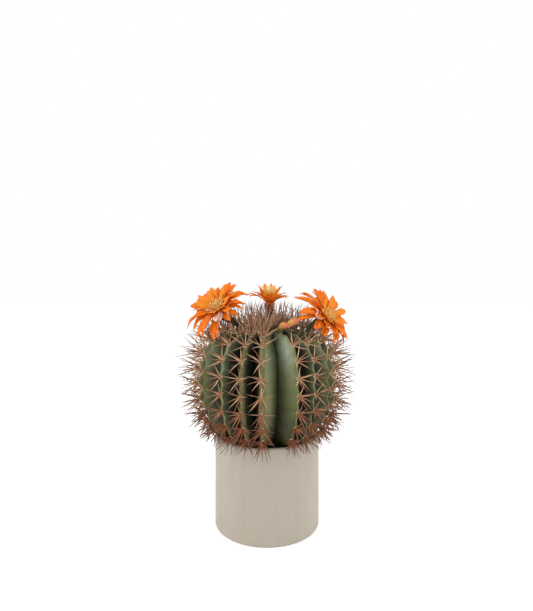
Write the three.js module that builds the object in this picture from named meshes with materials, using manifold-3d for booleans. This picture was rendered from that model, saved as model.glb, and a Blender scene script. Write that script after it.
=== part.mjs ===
// A globe cactus in bloom, standing in a cylindrical ceramic pot. Millimetres, +Z up, with the
// origin at the middle of the pot's foot. Azimuths run from the front (-Y) round towards +X.
import * as THREE from "three";
import { mergeVertices } from "three/addons/utils/BufferGeometryUtils.js";
import Module from "manifold-3d";

const wasm = await Module();
wasm.setup();

const CLEARANCE = 0.3; // between pieces that rest on each other

// The pot: a plain cylinder, a little narrower at the lip
const POT_RADIUS = 62.5;
const POT_TOP_RADIUS = 62;
const POT_HEIGHT = 110;
const POT_WALL = 4.6;
const POT_FLOOR = 7;
const FOOT_ROUND = 2.5;
const POT_SEGMENTS = 60;

// The soil, with its surface below the lip
const SOIL_TOP = 96;
const SOIL_SWELL = 2.2; // how far its surface rises and falls near the wall

// The globe: broad-shouldered above its equator and a circle below, dipped at the crown
const GLOBE_RADIUS = 81;
const EQUATOR_Z = 168;
const CROWN_RISE = 67;
const SHOULDER_POWER = 3.4; // 2 would be an ellipse, and more is squarer
const CROWN_DIP = 4;
const DIP_RADIUS = 14;
const COLLAR_RADIUS = 24; // the woody foot that stands in the soil
const COLLAR_TOP = 100;
const COLLAR_BOTTOM = 72;

// The ribs: crests seen from the front, and the ones behind, evenly spread
const SEEN_CRESTS = [-64.5, -38, -20.2, -4.3, 24.5, 40.3, 61];
const HIDDEN_RIBS = 11;
const RIB_DEPTH_SHARE = 0.25; // of the crest's distance from the axis
const FLANK_SINK = 0.36; // how deep the middle of a flank lies, as a share of the valley
const CREST_SINK = 0.12; // how deep a crest lies between two areoles, as the same share

// The areoles: down each crest, closer together at the crown
const FIRST_AREOLE = 17.5;
const AREOLE_ROWS = 10;
const AREOLE_STEP = 16.5;
const AREOLE_STEP_GROWTH = 1;
const AREOLE_STEP_MOST = 18.5;
const AREOLE_RADIUS = 2.1;
const AREOLE_HEIGHT = 1.4;
const AREOLE_SIDES = 10; // one spine for each
const BARE_AREOLES = [[0, 1], [4, 2], [5, 2]]; // rib and row, under a tube or a bud

// The spines: steep and spreading ones in turn
const STEEP_SPINE = { length: 30, tilt: 28 };
const SPREADING_SPINE = { length: 21, tilt: 61 };
const YOUNG_ROWS = 3; // rows of areoles at the crown whose spines are longer and stand closer
const YOUNG_STRETCH = 0.14;
const YOUNG_CLOSING = 0.32;
const LAST_ROW_STRETCH = -0.18; // the spines over the pot's rim are shorter
const SPINE_JITTER = 9; // degrees
const SPINE_FOOT = 1.1; // its radius where it leaves the areole, from which it tapers to its tip
const SPINE_GAP = 0.25;
const SPINE_TRIES = 24;
// For each seen crest, the rows whose spines are short on the side of the front middle
const SHORT_SIDES = [
  [4, 5, 6, 7],
  [4, 5, 6, 7],
  [3, 4, 5, 6, 7],
  [4, 5],
  [3, 4, 5, 6, 7, 8],
  [3, 4, 5, 6, 7],
  [3, 4, 5, 6, 7],
];
const SHORT_SIDE_STRETCH = 0.45;
const SEEN_STRETCH = 0.85; // of the spines below the young rows of the seen ribs

// The blooms: a tube from an areole, a throat, petals in layers and a brush of stamens
const TUBE_FOOT_RADIUS = 2.3;
const TUBE_TOP_RADIUS = 5;
const TUBE_SIDES = 8;
const TUBE_STATIONS = 7;
const TUBE_SCALE = { out: 1.1, along: 3.5 };
const BUD_SCALE = { out: 0.5, along: 1.2 };
const PAD_HEIGHT = 2.2;
const THROAT_HEIGHT = 7;
const THROAT_FLOOR = 1.6;
const THROAT_RADIUS = 6.4;
const THROAT_WALL = 1.2;
const PETAL_THICKNESS = 0.9;
const PETAL_SHORTENING = 0.5; // on the side of a bloom where its petals are shortest
const PETAL_STATIONS = [0, 0.3, 0.6, 0.84];
const STAMEN_SPREAD_SHARE = 0.75; // of the lean of the inmost petals
const STAMEN_DISC = { foot: 3.2, rim: 3.6, inner: 1.9, rimRise: 1.2, innerRise: 1.7, rise: 2 };

// Layers of petals, outermost first; lean is in degrees from the axis, at the foot and the tip
const OUTER_PETALS = { count: 10, length: 39, width: 8.4, lean: [64, 146], z: 4.2 };
const MIDDLE_PETALS = { count: 10, length: 31, width: 10, lean: [46, 108], z: 5 };
const INNER_PETALS = { count: 8, length: 25, width: 9, lean: [24, 68], z: 5.8 };
const SMALL_OUTER_PETALS = { count: 9, length: 22, width: 5.6, lean: [30, 104], z: 4.2 };
const SMALL_INNER_PETALS = { count: 8, length: 21, width: 6.8, lean: [14, 44], z: 5.6 };

// The seed draws the small differences between a bloom's petals; shortest is the way in which
// they are shortest
const BLOOMS = [
  {
    name: "bloom_left",
    seed: 42,
    azimuth: -84,
    row: 1,
    head: [-52.6, -22, 254.4],
    facing: [-0.38, -0.54, 0.75],
    shortest: [0.73, -0.67, -0.15],
    stamenLength: 15,
    layers: [OUTER_PETALS, MIDDLE_PETALS, INNER_PETALS],
  },
  {
    name: "bloom_right",
    seed: 36,
    azimuth: 61,
    row: 2,
    head: [61.7, -19, 245.4],
    facing: [0.68, -0.44, 0.58],
    shortest: [-0.12, -0.85, -0.52],
    stamenLength: 15,
    layers: [OUTER_PETALS, MIDDLE_PETALS, INNER_PETALS],
  },
  {
    name: "bloom_middle",
    seed: 13,
    azimuth: 178.3,
    row: 1,
    head: [3, 25, 260],
    facing: [0.04, -0.06, 1],
    shortest: [0, -1, 0],
    stamenLength: 20,
    layers: [SMALL_OUTER_PETALS, SMALL_INNER_PETALS],
  },
];

// The buds: closed cones of scales
const BUD_SIDES = 8;
const BUD_SHARES = [0.6, 0.8, 0.98, 1, 0.86, 0.58, 0.22]; // of its radius, from foot to tip
const BUDS = [
  { name: "bud_front", azimuth: 24.5, row: 1, tip: [23.5, -45, 240.5], radius: 3.6 },
  { name: "bud_side", azimuth: 40.3, row: 1, tip: [38, -36, 247], radius: 3.9 },
];

const COLOURS = {
  pot: { color: 0xc8c0b0, roughness: 0.55, metalness: 0 },
  soil: { color: 0x2a2019, roughness: 1, metalness: 0 },
  globe: { color: 0x66754f, roughness: 0.6, metalness: 0 },
  petals: { color: 0xf0801c, roughness: 0.5, metalness: 0 },
  tube: { color: 0x3c4226, roughness: 0.7, metalness: 0 },
  stamens: { color: 0xf2c24a, roughness: 0.6, metalness: 0 },
  bud: { color: 0xd98a3c, roughness: 0.6, metalness: 0 },
};

const radians = THREE.MathUtils.degToRad;
const vector = (list) => new THREE.Vector3(...list);

// A repeatable random number between -1 and 1
function randomFrom(seed) {
  let state = seed;
  return () => {
    state = (state * 1664525 + 1013904223) % 4294967296;
    return (state / 4294967296) * 2 - 1;
  };
}

// Points and faces of one closed surface, listed counter-clockwise as seen from outside
class Shell {
  constructor() {
    this.points = [];
    this.faces = [];
  }
  point(p) {
    return this.points.push(p) - 1;
  }
  ring(list) {
    return list.map((p) => this.point(p));
  }
  triangle(a, b, c) {
    this.faces.push(a, b, c);
  }
  quad(a, b, c, d) {
    this.faces.push(a, b, c, a, c, d);
  }
  // A strip between two rings, the second one further along; their counts may differ
  band(first, second) {
    for (let i = 0, j = 0; i < first.length || j < second.length; ) {
      const [a, b] = [first[i % first.length], second[j % second.length]];
      const onFirst = (i + 1) * second.length <= (j + 1) * first.length;
      if (onFirst) this.triangle(a, first[++i % first.length], b);
      else this.triangle(a, second[++j % second.length], b);
    }
  }
  // A cap on a ring that runs counter-clockwise as seen from outside
  fan(centre, ring) {
    ring.forEach((a, i) => this.triangle(centre, a, ring[(i + 1) % ring.length]));
  }
  middle(indices) {
    const sum = indices.reduce((total, i) => total.add(this.points[i]), new THREE.Vector3());
    return sum.divideScalar(indices.length);
  }
  // A spike in place of a triangle or quad
  spike(base, tip) {
    const top = this.point(tip);
    base.forEach((a, i) => this.triangle(a, base[(i + 1) % base.length], top));
  }
  geometry() {
    const made = new THREE.BufferGeometry().setFromPoints(this.points);
    made.setIndex(this.faces);
    made.computeVertexNormals();
    return made;
  }
}

function circle(count, radius, z) {
  return Array.from({ length: count }, (_, i) => {
    const a = (i / count) * 2 * Math.PI;
    return new THREE.Vector3(radius * Math.cos(a), radius * Math.sin(a), z);
  });
}

function solidOf(geometry) {
  const bare = geometry.clone();
  bare.deleteAttribute("normal");
  bare.deleteAttribute("uv");
  const merged = mergeVertices(bare, 1e-4);
  return new wasm.Manifold(
    new wasm.Mesh({
      numProp: 3,
      vertProperties: merged.attributes.position.array,
      triVerts: new Uint32Array(merged.index.array),
    }),
  );
}

function geometryOf(solid) {
  const mesh = solid.getMesh();
  const made = new THREE.BufferGeometry();
  made.setAttribute("position", new THREE.BufferAttribute(mesh.vertProperties, 3));
  made.setIndex(new THREE.BufferAttribute(mesh.triVerts, 1));
  made.computeVertexNormals();
  return made;
}

function meshOf(name, geometry, look) {
  const mesh = new THREE.Mesh(geometry, new THREE.MeshStandardMaterial(COLOURS[look]));
  mesh.name = name;
  return mesh;
}

// LatheGeometry turns about +Y, so its result is stood up along +Z
function lathe(profile, segments) {
  const points = profile.map(([r, z]) => new THREE.Vector2(r, z));
  return new THREE.LatheGeometry(points, segments).rotateX(Math.PI / 2);
}

function arc(centreR, centreZ, radius, from, to, steps) {
  return Array.from({ length: steps + 1 }, (_, i) => {
    const a = radians(from + ((to - from) * i) / steps);
    return [centreR + radius * Math.cos(a), centreZ + radius * Math.sin(a)];
  });
}

function makePot() {
  const lip = POT_WALL / 2;
  const innerTop = POT_TOP_RADIUS - POT_WALL;
  const innerFoot = POT_RADIUS - POT_WALL;
  return lathe(
    [
      [0, 0],
      ...arc(POT_RADIUS - FOOT_ROUND, FOOT_ROUND, FOOT_ROUND, -90, 0, 3),
      ...arc(POT_TOP_RADIUS - lip, POT_HEIGHT - lip, lip, 0, 180, 4),
      [innerTop, SOIL_TOP - 10],
      ...arc(innerFoot - FOOT_ROUND, POT_FLOOR + FOOT_ROUND, FOOT_ROUND, 0, -90, 2),
      [0, POT_FLOOR],
    ],
    POT_SEGMENTS,
  );
}

function makeSoil() {
  const wall = POT_TOP_RADIUS - POT_WALL - CLEARANCE;
  const bottom = POT_FLOOR + CLEARANCE;
  const collar = COLLAR_RADIUS + CLEARANCE;
  const foot = wall - FOOT_ROUND;
  const middle = (wall + GLOBE_RADIUS / 2) / 2;
  const geometry = lathe(
    [
      [0, bottom],
      [foot, bottom],
      [wall, bottom + FOOT_ROUND],
      [wall, SOIL_TOP],
      [middle, SOIL_TOP],
      [GLOBE_RADIUS / 2, SOIL_TOP],
      [collar, SOIL_TOP],
      [collar, COLLAR_BOTTOM - CLEARANCE],
      [0, COLLAR_BOTTOM - CLEARANCE],
    ],
    POT_SEGMENTS / 2,
  );
  // The surface swells between the globe's foot and the wall
  const position = geometry.attributes.position;
  for (let i = 0; i < position.count; i++) {
    const [x, y, z] = [position.getX(i), position.getY(i), position.getZ(i)];
    const r = Math.hypot(x, y);
    if (z < SOIL_TOP - 1 || r < middle - 1) continue;
    const a = Math.atan2(y, x);
    position.setZ(i, z + SOIL_SWELL * (0.5 * Math.sin(3 * a + r) + 0.5 * Math.sin(7 * a)));
  }
  return geometry;
}

// The line of a rib's crest in the plane of radius (x) and height (z), from crown to base
class CrestProfile extends THREE.Curve {
  getPoint(t, target = new THREE.Vector3()) {
    const a = t * BASE_ANGLE;
    if (a > Math.PI / 2) {
      return target.set(GLOBE_RADIUS * Math.sin(a), 0, EQUATOR_Z + GLOBE_RADIUS * Math.cos(a));
    }
    const r = GLOBE_RADIUS * Math.sin(a) ** (2 / SHOULDER_POWER);
    const rise = CROWN_RISE * Math.cos(a) ** (2 / SHOULDER_POWER);
    return target.set(r, 0, EQUATOR_Z + rise - CROWN_DIP * Math.exp(-((r / DIP_RADIUS) ** 2)));
  }
}
const BASE_ANGLE = Math.acos(-(EQUATOR_Z - SOIL_TOP - CLEARANCE) / GLOBE_RADIUS);
const crest = new CrestProfile();
crest.arcLengthDivisions = 800;
const crestLength = crest.getLength();

function ribAzimuths() {
  const last = SEEN_CRESTS.at(-1);
  const step = (360 + SEEN_CRESTS[0] - last) / (HIDDEN_RIBS + 1);
  const hidden = Array.from({ length: HIDDEN_RIBS }, (_, i) => last + step * (i + 1));
  return [...SEEN_CRESTS, ...hidden];
}
const ribs = ribAzimuths();

function areoleDistances() {
  const found = [FIRST_AREOLE];
  for (let k = 0; k < AREOLE_ROWS - 1; k++)
    found.push(found[k] + Math.min(AREOLE_STEP_MOST, AREOLE_STEP + AREOLE_STEP_GROWTH * k));
  return found;
}
const areoles = areoleDistances();

// A point on the globe and its directions, at an azimuth and a distance down the crest. depth
// is 0 on a crest and 1 in a valley.
function onGlobe(azimuth, distance, depth = 0) {
  const along = Math.min(1, distance / crestLength);
  const p = crest.getPointAt(along);
  const t = crest.getTangentAt(along);
  const a = radians(azimuth);
  const radial = new THREE.Vector3(Math.sin(a), -Math.cos(a), 0);
  const up = new THREE.Vector3(0, 0, 1);
  const normal = radial.clone().multiplyScalar(-t.z).addScaledVector(up, t.x);
  const down = radial.clone().multiplyScalar(t.x).addScaledVector(up, t.z);
  const point = radial.multiplyScalar(p.x).addScaledVector(up, p.z);
  point.addScaledVector(normal, -RIB_DEPTH_SHARE * p.x * depth);
  return { point, normal, down, right: new THREE.Vector3(Math.cos(a), Math.sin(a), 0) };
}

function nearestRib(azimuth) {
  const apart = (rib) => Math.abs(((rib - azimuth + 540) % 360) - 180);
  return ribs.reduce((best, rib, i) => (apart(rib) < apart(ribs[best]) ? i : best), 0);
}

// Where a bloom or bud stands: the middle of a flat pad on a crest, facing its tube's way out
function padOf({ azimuth, row }, towards) {
  const rib = nearestRib(azimuth);
  const { point, normal } = onGlobe(ribs[rib], areoles[row]);
  const facing = towards.clone().sub(point).normalize().add(normal).normalize();
  return { rib, row, centre: point.addScaledVector(normal, PAD_HEIGHT), facing };
}

// A stem along a curve, with a radius at each station; scales are spikes on some of its quads
function sweep(curve, radii, sides, scales = () => null) {
  const shell = new Shell();
  const steps = radii.length - 1;
  const frames = curve.computeFrenetFrames(steps);
  const rings = radii.map((radius, i) => {
    const middle = curve.getPointAt(i / steps);
    return shell.ring(
      circle(sides, radius, 0).map((p) =>
        middle
          .clone()
          .addScaledVector(frames.normals[i], p.x)
          .addScaledVector(frames.binormals[i], p.y),
      ),
    );
  });
  rings.slice(1).forEach((ring, i) =>
    ring.forEach((_, j) => {
      const next = (j + 1) % sides;
      const base = [rings[i][j], rings[i][next], ring[next], ring[j]];
      const tip = scales(shell, base, frames.tangents[i], i, j);
      if (tip) shell.spike(base, tip);
      else shell.quad(...base);
    }),
  );
  shell.fan(shell.point(curve.getPointAt(0)), [...rings[0]].reverse());
  shell.fan(shell.point(curve.getPointAt(1)), rings[steps]);
  return shell.geometry();
}

// The tip of a scale on a quad: out from the stem and on along it
function scaleTip(shell, base, tangent, { out, along }) {
  const [a, b, , d] = base.map((i) => shell.points[i]);
  const normal = b.clone().sub(a).cross(d.clone().sub(a)).normalize();
  return shell.middle(base).addScaledVector(normal, out).addScaledVector(tangent, along);
}

function tubeCurve(pad, bloom) {
  const facing = vector(bloom.facing).normalize();
  const end = vector(bloom.head).addScaledVector(facing, -CLEARANCE);
  const start = pad.centre.clone().addScaledVector(pad.facing, CLEARANCE);
  const reach = start.distanceTo(end) / 3;
  return new THREE.CubicBezierCurve3(
    start,
    start.clone().addScaledVector(pad.facing, reach),
    end.clone().addScaledVector(facing, -reach),
    end,
  );
}

function makeTube(curve) {
  const radii = Array.from({ length: TUBE_STATIONS }, (_, i) => {
    const t = i / (TUBE_STATIONS - 1);
    return THREE.MathUtils.lerp(TUBE_FOOT_RADIUS, TUBE_TOP_RADIUS, t ** 0.8);
  });
  const scales = (shell, base, tangent, i, j) => {
    const isScale = (i + j) % 3 === 0 && i > 0 && i < TUBE_STATIONS - 2;
    return isScale ? scaleTip(shell, base, tangent, TUBE_SCALE) : null;
  };
  return sweep(curve, radii, TUBE_SIDES, scales);
}

// The middle line of a petal as an arc, in the plane of radius (x) and height (z)
function petalLine(layer, length, lean) {
  const [from, to] = lean.map(radians);
  const turn = to - from;
  const startR = THROAT_RADIUS - THROAT_WALL / 2;
  return (t) => {
    const now = from + turn * t;
    return {
      r: startR + (length * (Math.cos(from) - Math.cos(now))) / turn,
      z: layer.z + (length * (Math.sin(now) - Math.sin(from))) / turn,
      lean: now,
    };
  };
}

// The width of a petal along its length, widest just past the middle
function petalWidth(t) {
  return Math.sin(Math.PI * (0.16 + 0.84 * t) ** 1.5) ** 0.8;
}

// A piece of a blade between two sections, split into triangles alike on both faces
function addBlade(shell, [left, top, right, bottom], [left2, top2, right2, bottom2]) {
  shell.quad(left, top, top2, left2);
  shell.quad(left, left2, bottom2, bottom);
  shell.quad(right, right2, top2, top);
  shell.quad(right, bottom, bottom2, right2);
}

// One petal: a thin blade with a raised midrib, cupped edges and a pointed tip
function makePetal(layer, azimuth, stretch, random) {
  const length = layer.length * stretch * (1 + 0.12 * random());
  const lean = layer.lean.map((angle) => angle + 9 * random());
  const line = petalLine(layer, length, lean);
  const roll = radians(16 * random());
  const shell = new Shell();
  const radial = new THREE.Vector3(Math.cos(azimuth), Math.sin(azimuth), 0);
  const across = new THREE.Vector3(-Math.sin(azimuth), Math.cos(azimuth), 0);
  const up = new THREE.Vector3(0, 0, 1);
  const middleOf = (t) => {
    const { r, z, lean: now } = line(t);
    const point = radial.clone().multiplyScalar(r).addScaledVector(up, z);
    const above = radial.clone().multiplyScalar(-Math.cos(now)).addScaledVector(up, Math.sin(now));
    const forward = radial.clone().multiplyScalar(Math.sin(now)).addScaledVector(up, Math.cos(now));
    const turned = roll * t;
    return {
      point,
      side: across.clone().applyAxisAngle(forward, turned),
      above: above.applyAxisAngle(forward, turned),
    };
  };
  const rings = PETAL_STATIONS.map((t) => {
    const { point, side, above } = middleOf(t);
    const half = (layer.width * petalWidth(t)) / 2;
    const thick = PETAL_THICKNESS / 2;
    return shell.ring([
      point.clone().addScaledVector(side, half).addScaledVector(above, 0.2 * half),
      point.clone().addScaledVector(above, thick),
      point.clone().addScaledVector(side, -half).addScaledVector(above, 0.2 * half),
      point.clone().addScaledVector(above, -thick),
    ]);
  });
  rings.slice(1).forEach((ring, i) => addBlade(shell, rings[i], ring));
  shell.spike(rings.at(-1), middleOf(1).point);
  const [left, top, right, bottom] = rings[0];
  shell.quad(left, bottom, right, top);
  const middles = [0.2, 0.4, 0.6, 0.8, 1].map((t) => middleOf(t).point);
  return { geometry: shell.geometry(), middles };
}

// How a flower head's own axes, with +Z out of the bloom, are turned to stand on the plant
function turnOf(bloom) {
  const out = new THREE.Vector3(0, 0, 1);
  return new THREE.Quaternion().setFromUnitVectors(out, vector(bloom.facing).normalize());
}

// The petals of a bloom, joined by its throat
function makePetals(bloom) {
  const random = randomFrom(bloom.seed);
  const shortest = vector(bloom.shortest).applyQuaternion(turnOf(bloom).invert());
  const shortestAzimuth = Math.atan2(shortest.y, shortest.x);
  const rimInside = THROAT_RADIUS - THROAT_WALL;
  let solid = solidOf(
    lathe(
      [
        [0, 0],
        [TUBE_TOP_RADIUS, 0],
        [THROAT_RADIUS, THROAT_HEIGHT],
        [rimInside, THROAT_HEIGHT],
        [rimInside - 1, THROAT_FLOOR],
        [0, THROAT_FLOOR],
      ],
      16,
    ),
  );
  const throat = new THREE.Vector3(0, 0, THROAT_HEIGHT / 2);
  const middles = [{ point: throat, radius: THROAT_RADIUS + 1 }];
  bloom.layers.forEach((layer, l) => {
    for (let k = 0; k < layer.count; k++) {
      const azimuth = ((k + 0.5 * (l % 2) + 0.18 * random()) / layer.count) * 2 * Math.PI;
      const towards = Math.max(0, Math.cos(azimuth - shortestAzimuth));
      const petal = makePetal(layer, azimuth, 1 - PETAL_SHORTENING * towards ** 2, random);
      solid = solid.add(solidOf(petal.geometry));
      petal.middles.forEach((point) => middles.push({ point, radius: layer.width / 2 + 0.8 }));
    }
  });
  return { geometry: geometryOf(solid), middles };
}

// A small disc with a brush of filaments, which stand a little steeper than the inmost petals
function makeStamens(bloom) {
  const random = randomFrom(bloom.seed);
  const outerSpread = bloom.layers.at(-1).lean[0] * STAMEN_SPREAD_SHARE;
  const bottom = THROAT_FLOOR + CLEARANCE;
  const disc = STAMEN_DISC;
  const shell = new Shell();
  const foot = shell.ring(circle(16, disc.foot, bottom));
  const rim = shell.ring(circle(16, disc.rim, bottom + disc.rimRise));
  const inner = shell.ring(circle(8, disc.inner, bottom + disc.innerRise));
  const centre = shell.point(new THREE.Vector3(0, 0, bottom + disc.rise));
  shell.fan(shell.point(new THREE.Vector3(0, 0, bottom)), [...foot].reverse());
  shell.band(foot, rim);
  const filament = (base, spread, length) => {
    const middle = shell.middle(base);
    const lean = new THREE.Vector3(middle.x, middle.y, 0).setLength(Math.tan(radians(spread)));
    lean.z = 1;
    shell.spike(base, middle.addScaledVector(lean.normalize(), length * (1 + 0.1 * random())));
  };
  inner.forEach((a, j) => {
    const b = inner[(j + 1) % 8];
    const [p, q, r] = [rim[2 * j], rim[2 * j + 1], rim[(2 * j + 2) % 16]];
    filament([centre, a, b], outerSpread / 3, bloom.stamenLength);
    filament([a, p, q], outerSpread, bloom.stamenLength);
    shell.triangle(a, q, b);
    filament([b, q, r], outerSpread, bloom.stamenLength * 0.85);
  });
  return shell.geometry();
}

function makeBud(pad, bud) {
  const start = pad.centre.clone().addScaledVector(pad.facing, CLEARANCE);
  const end = vector(bud.tip);
  const bend = start.clone().addScaledVector(pad.facing, start.distanceTo(end) / 2);
  const curve = new THREE.QuadraticBezierCurve3(start, bend, end);
  const radii = BUD_SHARES.map((share) => bud.radius * share);
  const scales = (shell, base, tangent, i, j) =>
    (i + j) % 2 ? scaleTip(shell, base, tangent, BUD_SCALE) : null;
  return { geometry: sweep(curve, radii, BUD_SIDES, scales), curve };
}

// How much shorter a spine of a seen rib is, by the way it leaves its areole: turn is in degrees
// from the right
function seenStretch(rib, row, turn) {
  if (rib >= SEEN_CRESTS.length || row < YOUNG_ROWS) return 1;
  const inward = ribs[rib] < 0 ? 1 : -1;
  const isShort = SHORT_SIDES[rib].includes(row) && inward * Math.cos(radians(turn)) > 0.2;
  return isShort ? SHORT_SIDE_STRETCH : SEEN_STRETCH;
}

// Straight spines that keep clear of the pot, the blooms and buds, and each other
class SpineField {
  constructor(obstacles, random) {
    this.obstacles = obstacles;
    this.random = random;
    this.drawn = [];
  }
  hasRoom(spine) {
    for (let k = 1; k <= 5; k++) {
      const p = spine.at(k / 5, new THREE.Vector3());
      if (p.z < POT_HEIGHT + 1.5 && Math.hypot(p.x, p.y) < POT_RADIUS + 1.5) return false;
    }
    const [near, far] = [new THREE.Vector3(), new THREE.Vector3()];
    const thickness = (line, at) => SPINE_FOOT * (1 - at.distanceTo(line.start) / line.distance());
    for (const { point, radius } of this.obstacles) {
      spine.closestPointToPoint(point, true, near);
      if (near.distanceTo(point) < radius + thickness(spine, near)) return false;
    }
    return this.drawn.every((other) => {
      const apart = Math.sqrt(other.distanceSqToLine3(spine, near, far));
      return apart > SPINE_GAP + thickness(other, near) + thickness(spine, far);
    });
  }
  // A spine from an areole, or null where there is no room for one
  draw(start, { normal, down, right }, turn, kind, rib, row) {
    const youth = Math.max(0, 1 - row / YOUNG_ROWS);
    const closing = 1 - YOUNG_CLOSING * youth;
    const grown = 1 + (row === AREOLE_ROWS - 1 ? LAST_ROW_STRETCH : YOUNG_STRETCH * youth);
    const stretch = grown * seenStretch(rib, row, turn);
    for (let attempt = 0; attempt < SPINE_TRIES; attempt++) {
      const around = radians(turn + SPINE_JITTER * this.random());
      const lean = radians(kind.tilt * closing + SPINE_JITTER * this.random() - attempt / 2);
      const reach = kind.length * (stretch + 0.1 * this.random()) * (1 - 0.01 * attempt);
      const tip = start
        .clone()
        .addScaledVector(normal, reach * Math.cos(lean))
        .addScaledVector(right, reach * Math.sin(lean) * Math.cos(around))
        .addScaledVector(down, -reach * Math.sin(lean) * Math.sin(around));
      const spine = new THREE.Line3(start, tip);
      if (this.hasRoom(spine)) return spine;
    }
    return null;
  }
}

// A cushion on a crest in place of one grid vertex: raised faces, each drawn out into a spine
function addAreole(shell, around, frame, field, rib, row) {
  const { point, normal, down, right } = frame;
  const radius = Math.min(AREOLE_RADIUS, 0.3 + 0.075 * Math.hypot(point.x, point.y));
  const centre = shell.point(point.clone().addScaledVector(normal, AREOLE_HEIGHT));
  const ring = shell.ring(
    circle(AREOLE_SIDES, radius, AREOLE_HEIGHT * 0.3).map((p) =>
      point
        .clone()
        .addScaledVector(right, p.x)
        .addScaledVector(down, -p.y)
        .addScaledVector(normal, p.z),
    ),
  );
  shell.band(around, ring);
  const own = [];
  ring.forEach((a, j) => {
    const base = [centre, a, ring[(j + 1) % AREOLE_SIDES]];
    const turn = (360 / AREOLE_SIDES) * (j + 0.5);
    const kind = j % 2 ? STEEP_SPINE : SPREADING_SPINE;
    const spine = field.draw(shell.middle(base), frame, turn, kind, rib, row);
    if (spine) {
      shell.spike(base, spine.end);
      own.push(spine);
    } else shell.triangle(...base);
  });
  field.drawn.push(...own);
}

// A flat pad on a crest in place of one grid vertex, which a bloom or bud stands on
function addPad(shell, around, pad, right) {
  const across = right.clone().addScaledVector(pad.facing, -right.dot(pad.facing)).normalize();
  const upward = pad.facing.clone().cross(across);
  const ring = shell.ring(
    circle(AREOLE_SIDES, TUBE_FOOT_RADIUS + 0.3, 0).map((p) =>
      pad.centre.clone().addScaledVector(across, p.x).addScaledVector(upward, p.y),
    ),
  );
  shell.band(around, ring);
  shell.fan(shell.point(pad.centre.clone()), ring);
}

// The globe with its ribs, areoles and spines, as one surface
function makeGlobe(pads, obstacles) {
  const shell = new Shell();
  const field = new SpineField(obstacles, randomFrom(7));
  const columns = ribs.flatMap((azimuth, i) => {
    const gap = (ribs[(i + 1) % ribs.length] - azimuth + 360) % 360;
    return [0, FLANK_SINK, 1, FLANK_SINK].map((depth, k) => ({
      azimuth: azimuth + (gap * k) / 4,
      depth,
      rib: k ? null : i,
    }));
  });
  // Rows down the crest: one for each areole, with one between
  const rows = areoles.flatMap((distance, k) => {
    const before = k ? areoles[k - 1] : FIRST_AREOLE / 4;
    return [
      { distance: (distance + before) / 2, row: null },
      { distance, row: k },
    ];
  });
  const end = areoles.at(-1);
  rows.push({ distance: (end + crestLength) / 2, row: null }, { distance: crestLength, row: null });
  const grid = rows.map(({ distance, row }) =>
    columns.map(({ azimuth, depth, rib }) => {
      const sunk = rib !== null && row === null ? CREST_SINK : depth;
      return shell.point(onGlobe(azimuth, distance, sunk).point);
    }),
  );
  const isAreole = (r, c) => {
    const [{ row }, { rib }] = [rows[r], columns[c]];
    const isBare = BARE_AREOLES.some(([i, k]) => i === rib && k === row);
    return row !== null && rib !== null && !isBare;
  };
  const wide = columns.length;
  for (let r = 0; r < rows.length - 1; r++)
    for (let c = 0; c < wide; c++) {
      const n = (c + 1) % wide;
      if ([[r, c], [r, n], [r + 1, c], [r + 1, n]].some(([i, j]) => isAreole(i, j))) continue;
      shell.quad(grid[r][c], grid[r + 1][c], grid[r + 1][n], grid[r][n]);
    }
  for (let r = 1; r < rows.length - 1; r++)
    for (let c = 0; c < wide; c += 4) {
      if (!isAreole(r, c)) continue;
      const [left, right] = [(c + wide - 1) % wide, c + 1];
      const around = [
        [r, right], [r - 1, right], [r - 1, c], [r - 1, left],
        [r, left], [r + 1, left], [r + 1, c], [r + 1, right],
      ].map(([i, j]) => grid[i][j]);
      const { rib } = columns[c];
      const { row, distance } = rows[r];
      const frame = onGlobe(ribs[rib], distance);
      const pad = pads.find((p) => p.rib === rib && p.row === row);
      if (pad) addPad(shell, around, pad, frame.right);
      else addAreole(shell, around, frame, field, rib, row);
    }
  // The crown, the underside and the woody foot
  const crown = crest.getPoint(0);
  shell.fan(shell.point(crown), grid[0]);
  const foot = [
    [COLLAR_RADIUS, COLLAR_TOP],
    [COLLAR_RADIUS, COLLAR_BOTTOM],
  ].map(([radius, z]) =>
    shell.ring(
      columns.map(({ azimuth }) => {
        const a = radians(azimuth);
        return new THREE.Vector3(radius * Math.sin(a), -radius * Math.cos(a), z);
      }),
    ),
  );
  [grid.at(-1), foot[0]].forEach((upper, i) => shell.band(foot[i], upper));
  shell.fan(shell.point(new THREE.Vector3(0, 0, COLLAR_BOTTOM)), [...foot[1]].reverse());
  return shell.geometry();
}

const plant = new THREE.Group();
plant.add(meshOf("pot", makePot(), "pot"));
plant.add(meshOf("soil", makeSoil(), "soil"));

const pads = [];
const obstacles = [];
for (const bloom of BLOOMS) {
  const pad = padOf(bloom, vector(bloom.head));
  const curve = tubeCurve(pad, bloom);
  const petals = makePetals(bloom);
  const head = new THREE.Group();
  head.position.copy(vector(bloom.head));
  head.quaternion.copy(turnOf(bloom));
  head.updateMatrixWorld(true);
  head.add(meshOf(`${bloom.name}_petals`, petals.geometry, "petals"));
  head.add(meshOf(`${bloom.name}_stamens`, makeStamens(bloom), "stamens"));
  plant.add(head, meshOf(`${bloom.name}_tube`, makeTube(curve), "tube"));
  pads.push(pad);
  for (const { point, radius } of petals.middles)
    obstacles.push({ point: point.applyMatrix4(head.matrixWorld), radius });
  for (const point of curve.getSpacedPoints(12).slice(1))
    obstacles.push({ point, radius: TUBE_TOP_RADIUS + 1 });
}
for (const bud of BUDS) {
  const pad = padOf(bud, vector(bud.tip));
  const { geometry, curve } = makeBud(pad, bud);
  plant.add(meshOf(bud.name, geometry, "bud"));
  pads.push(pad);
  for (const point of curve.getSpacedPoints(5)) obstacles.push({ point, radius: bud.radius + 1 });
}
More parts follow.
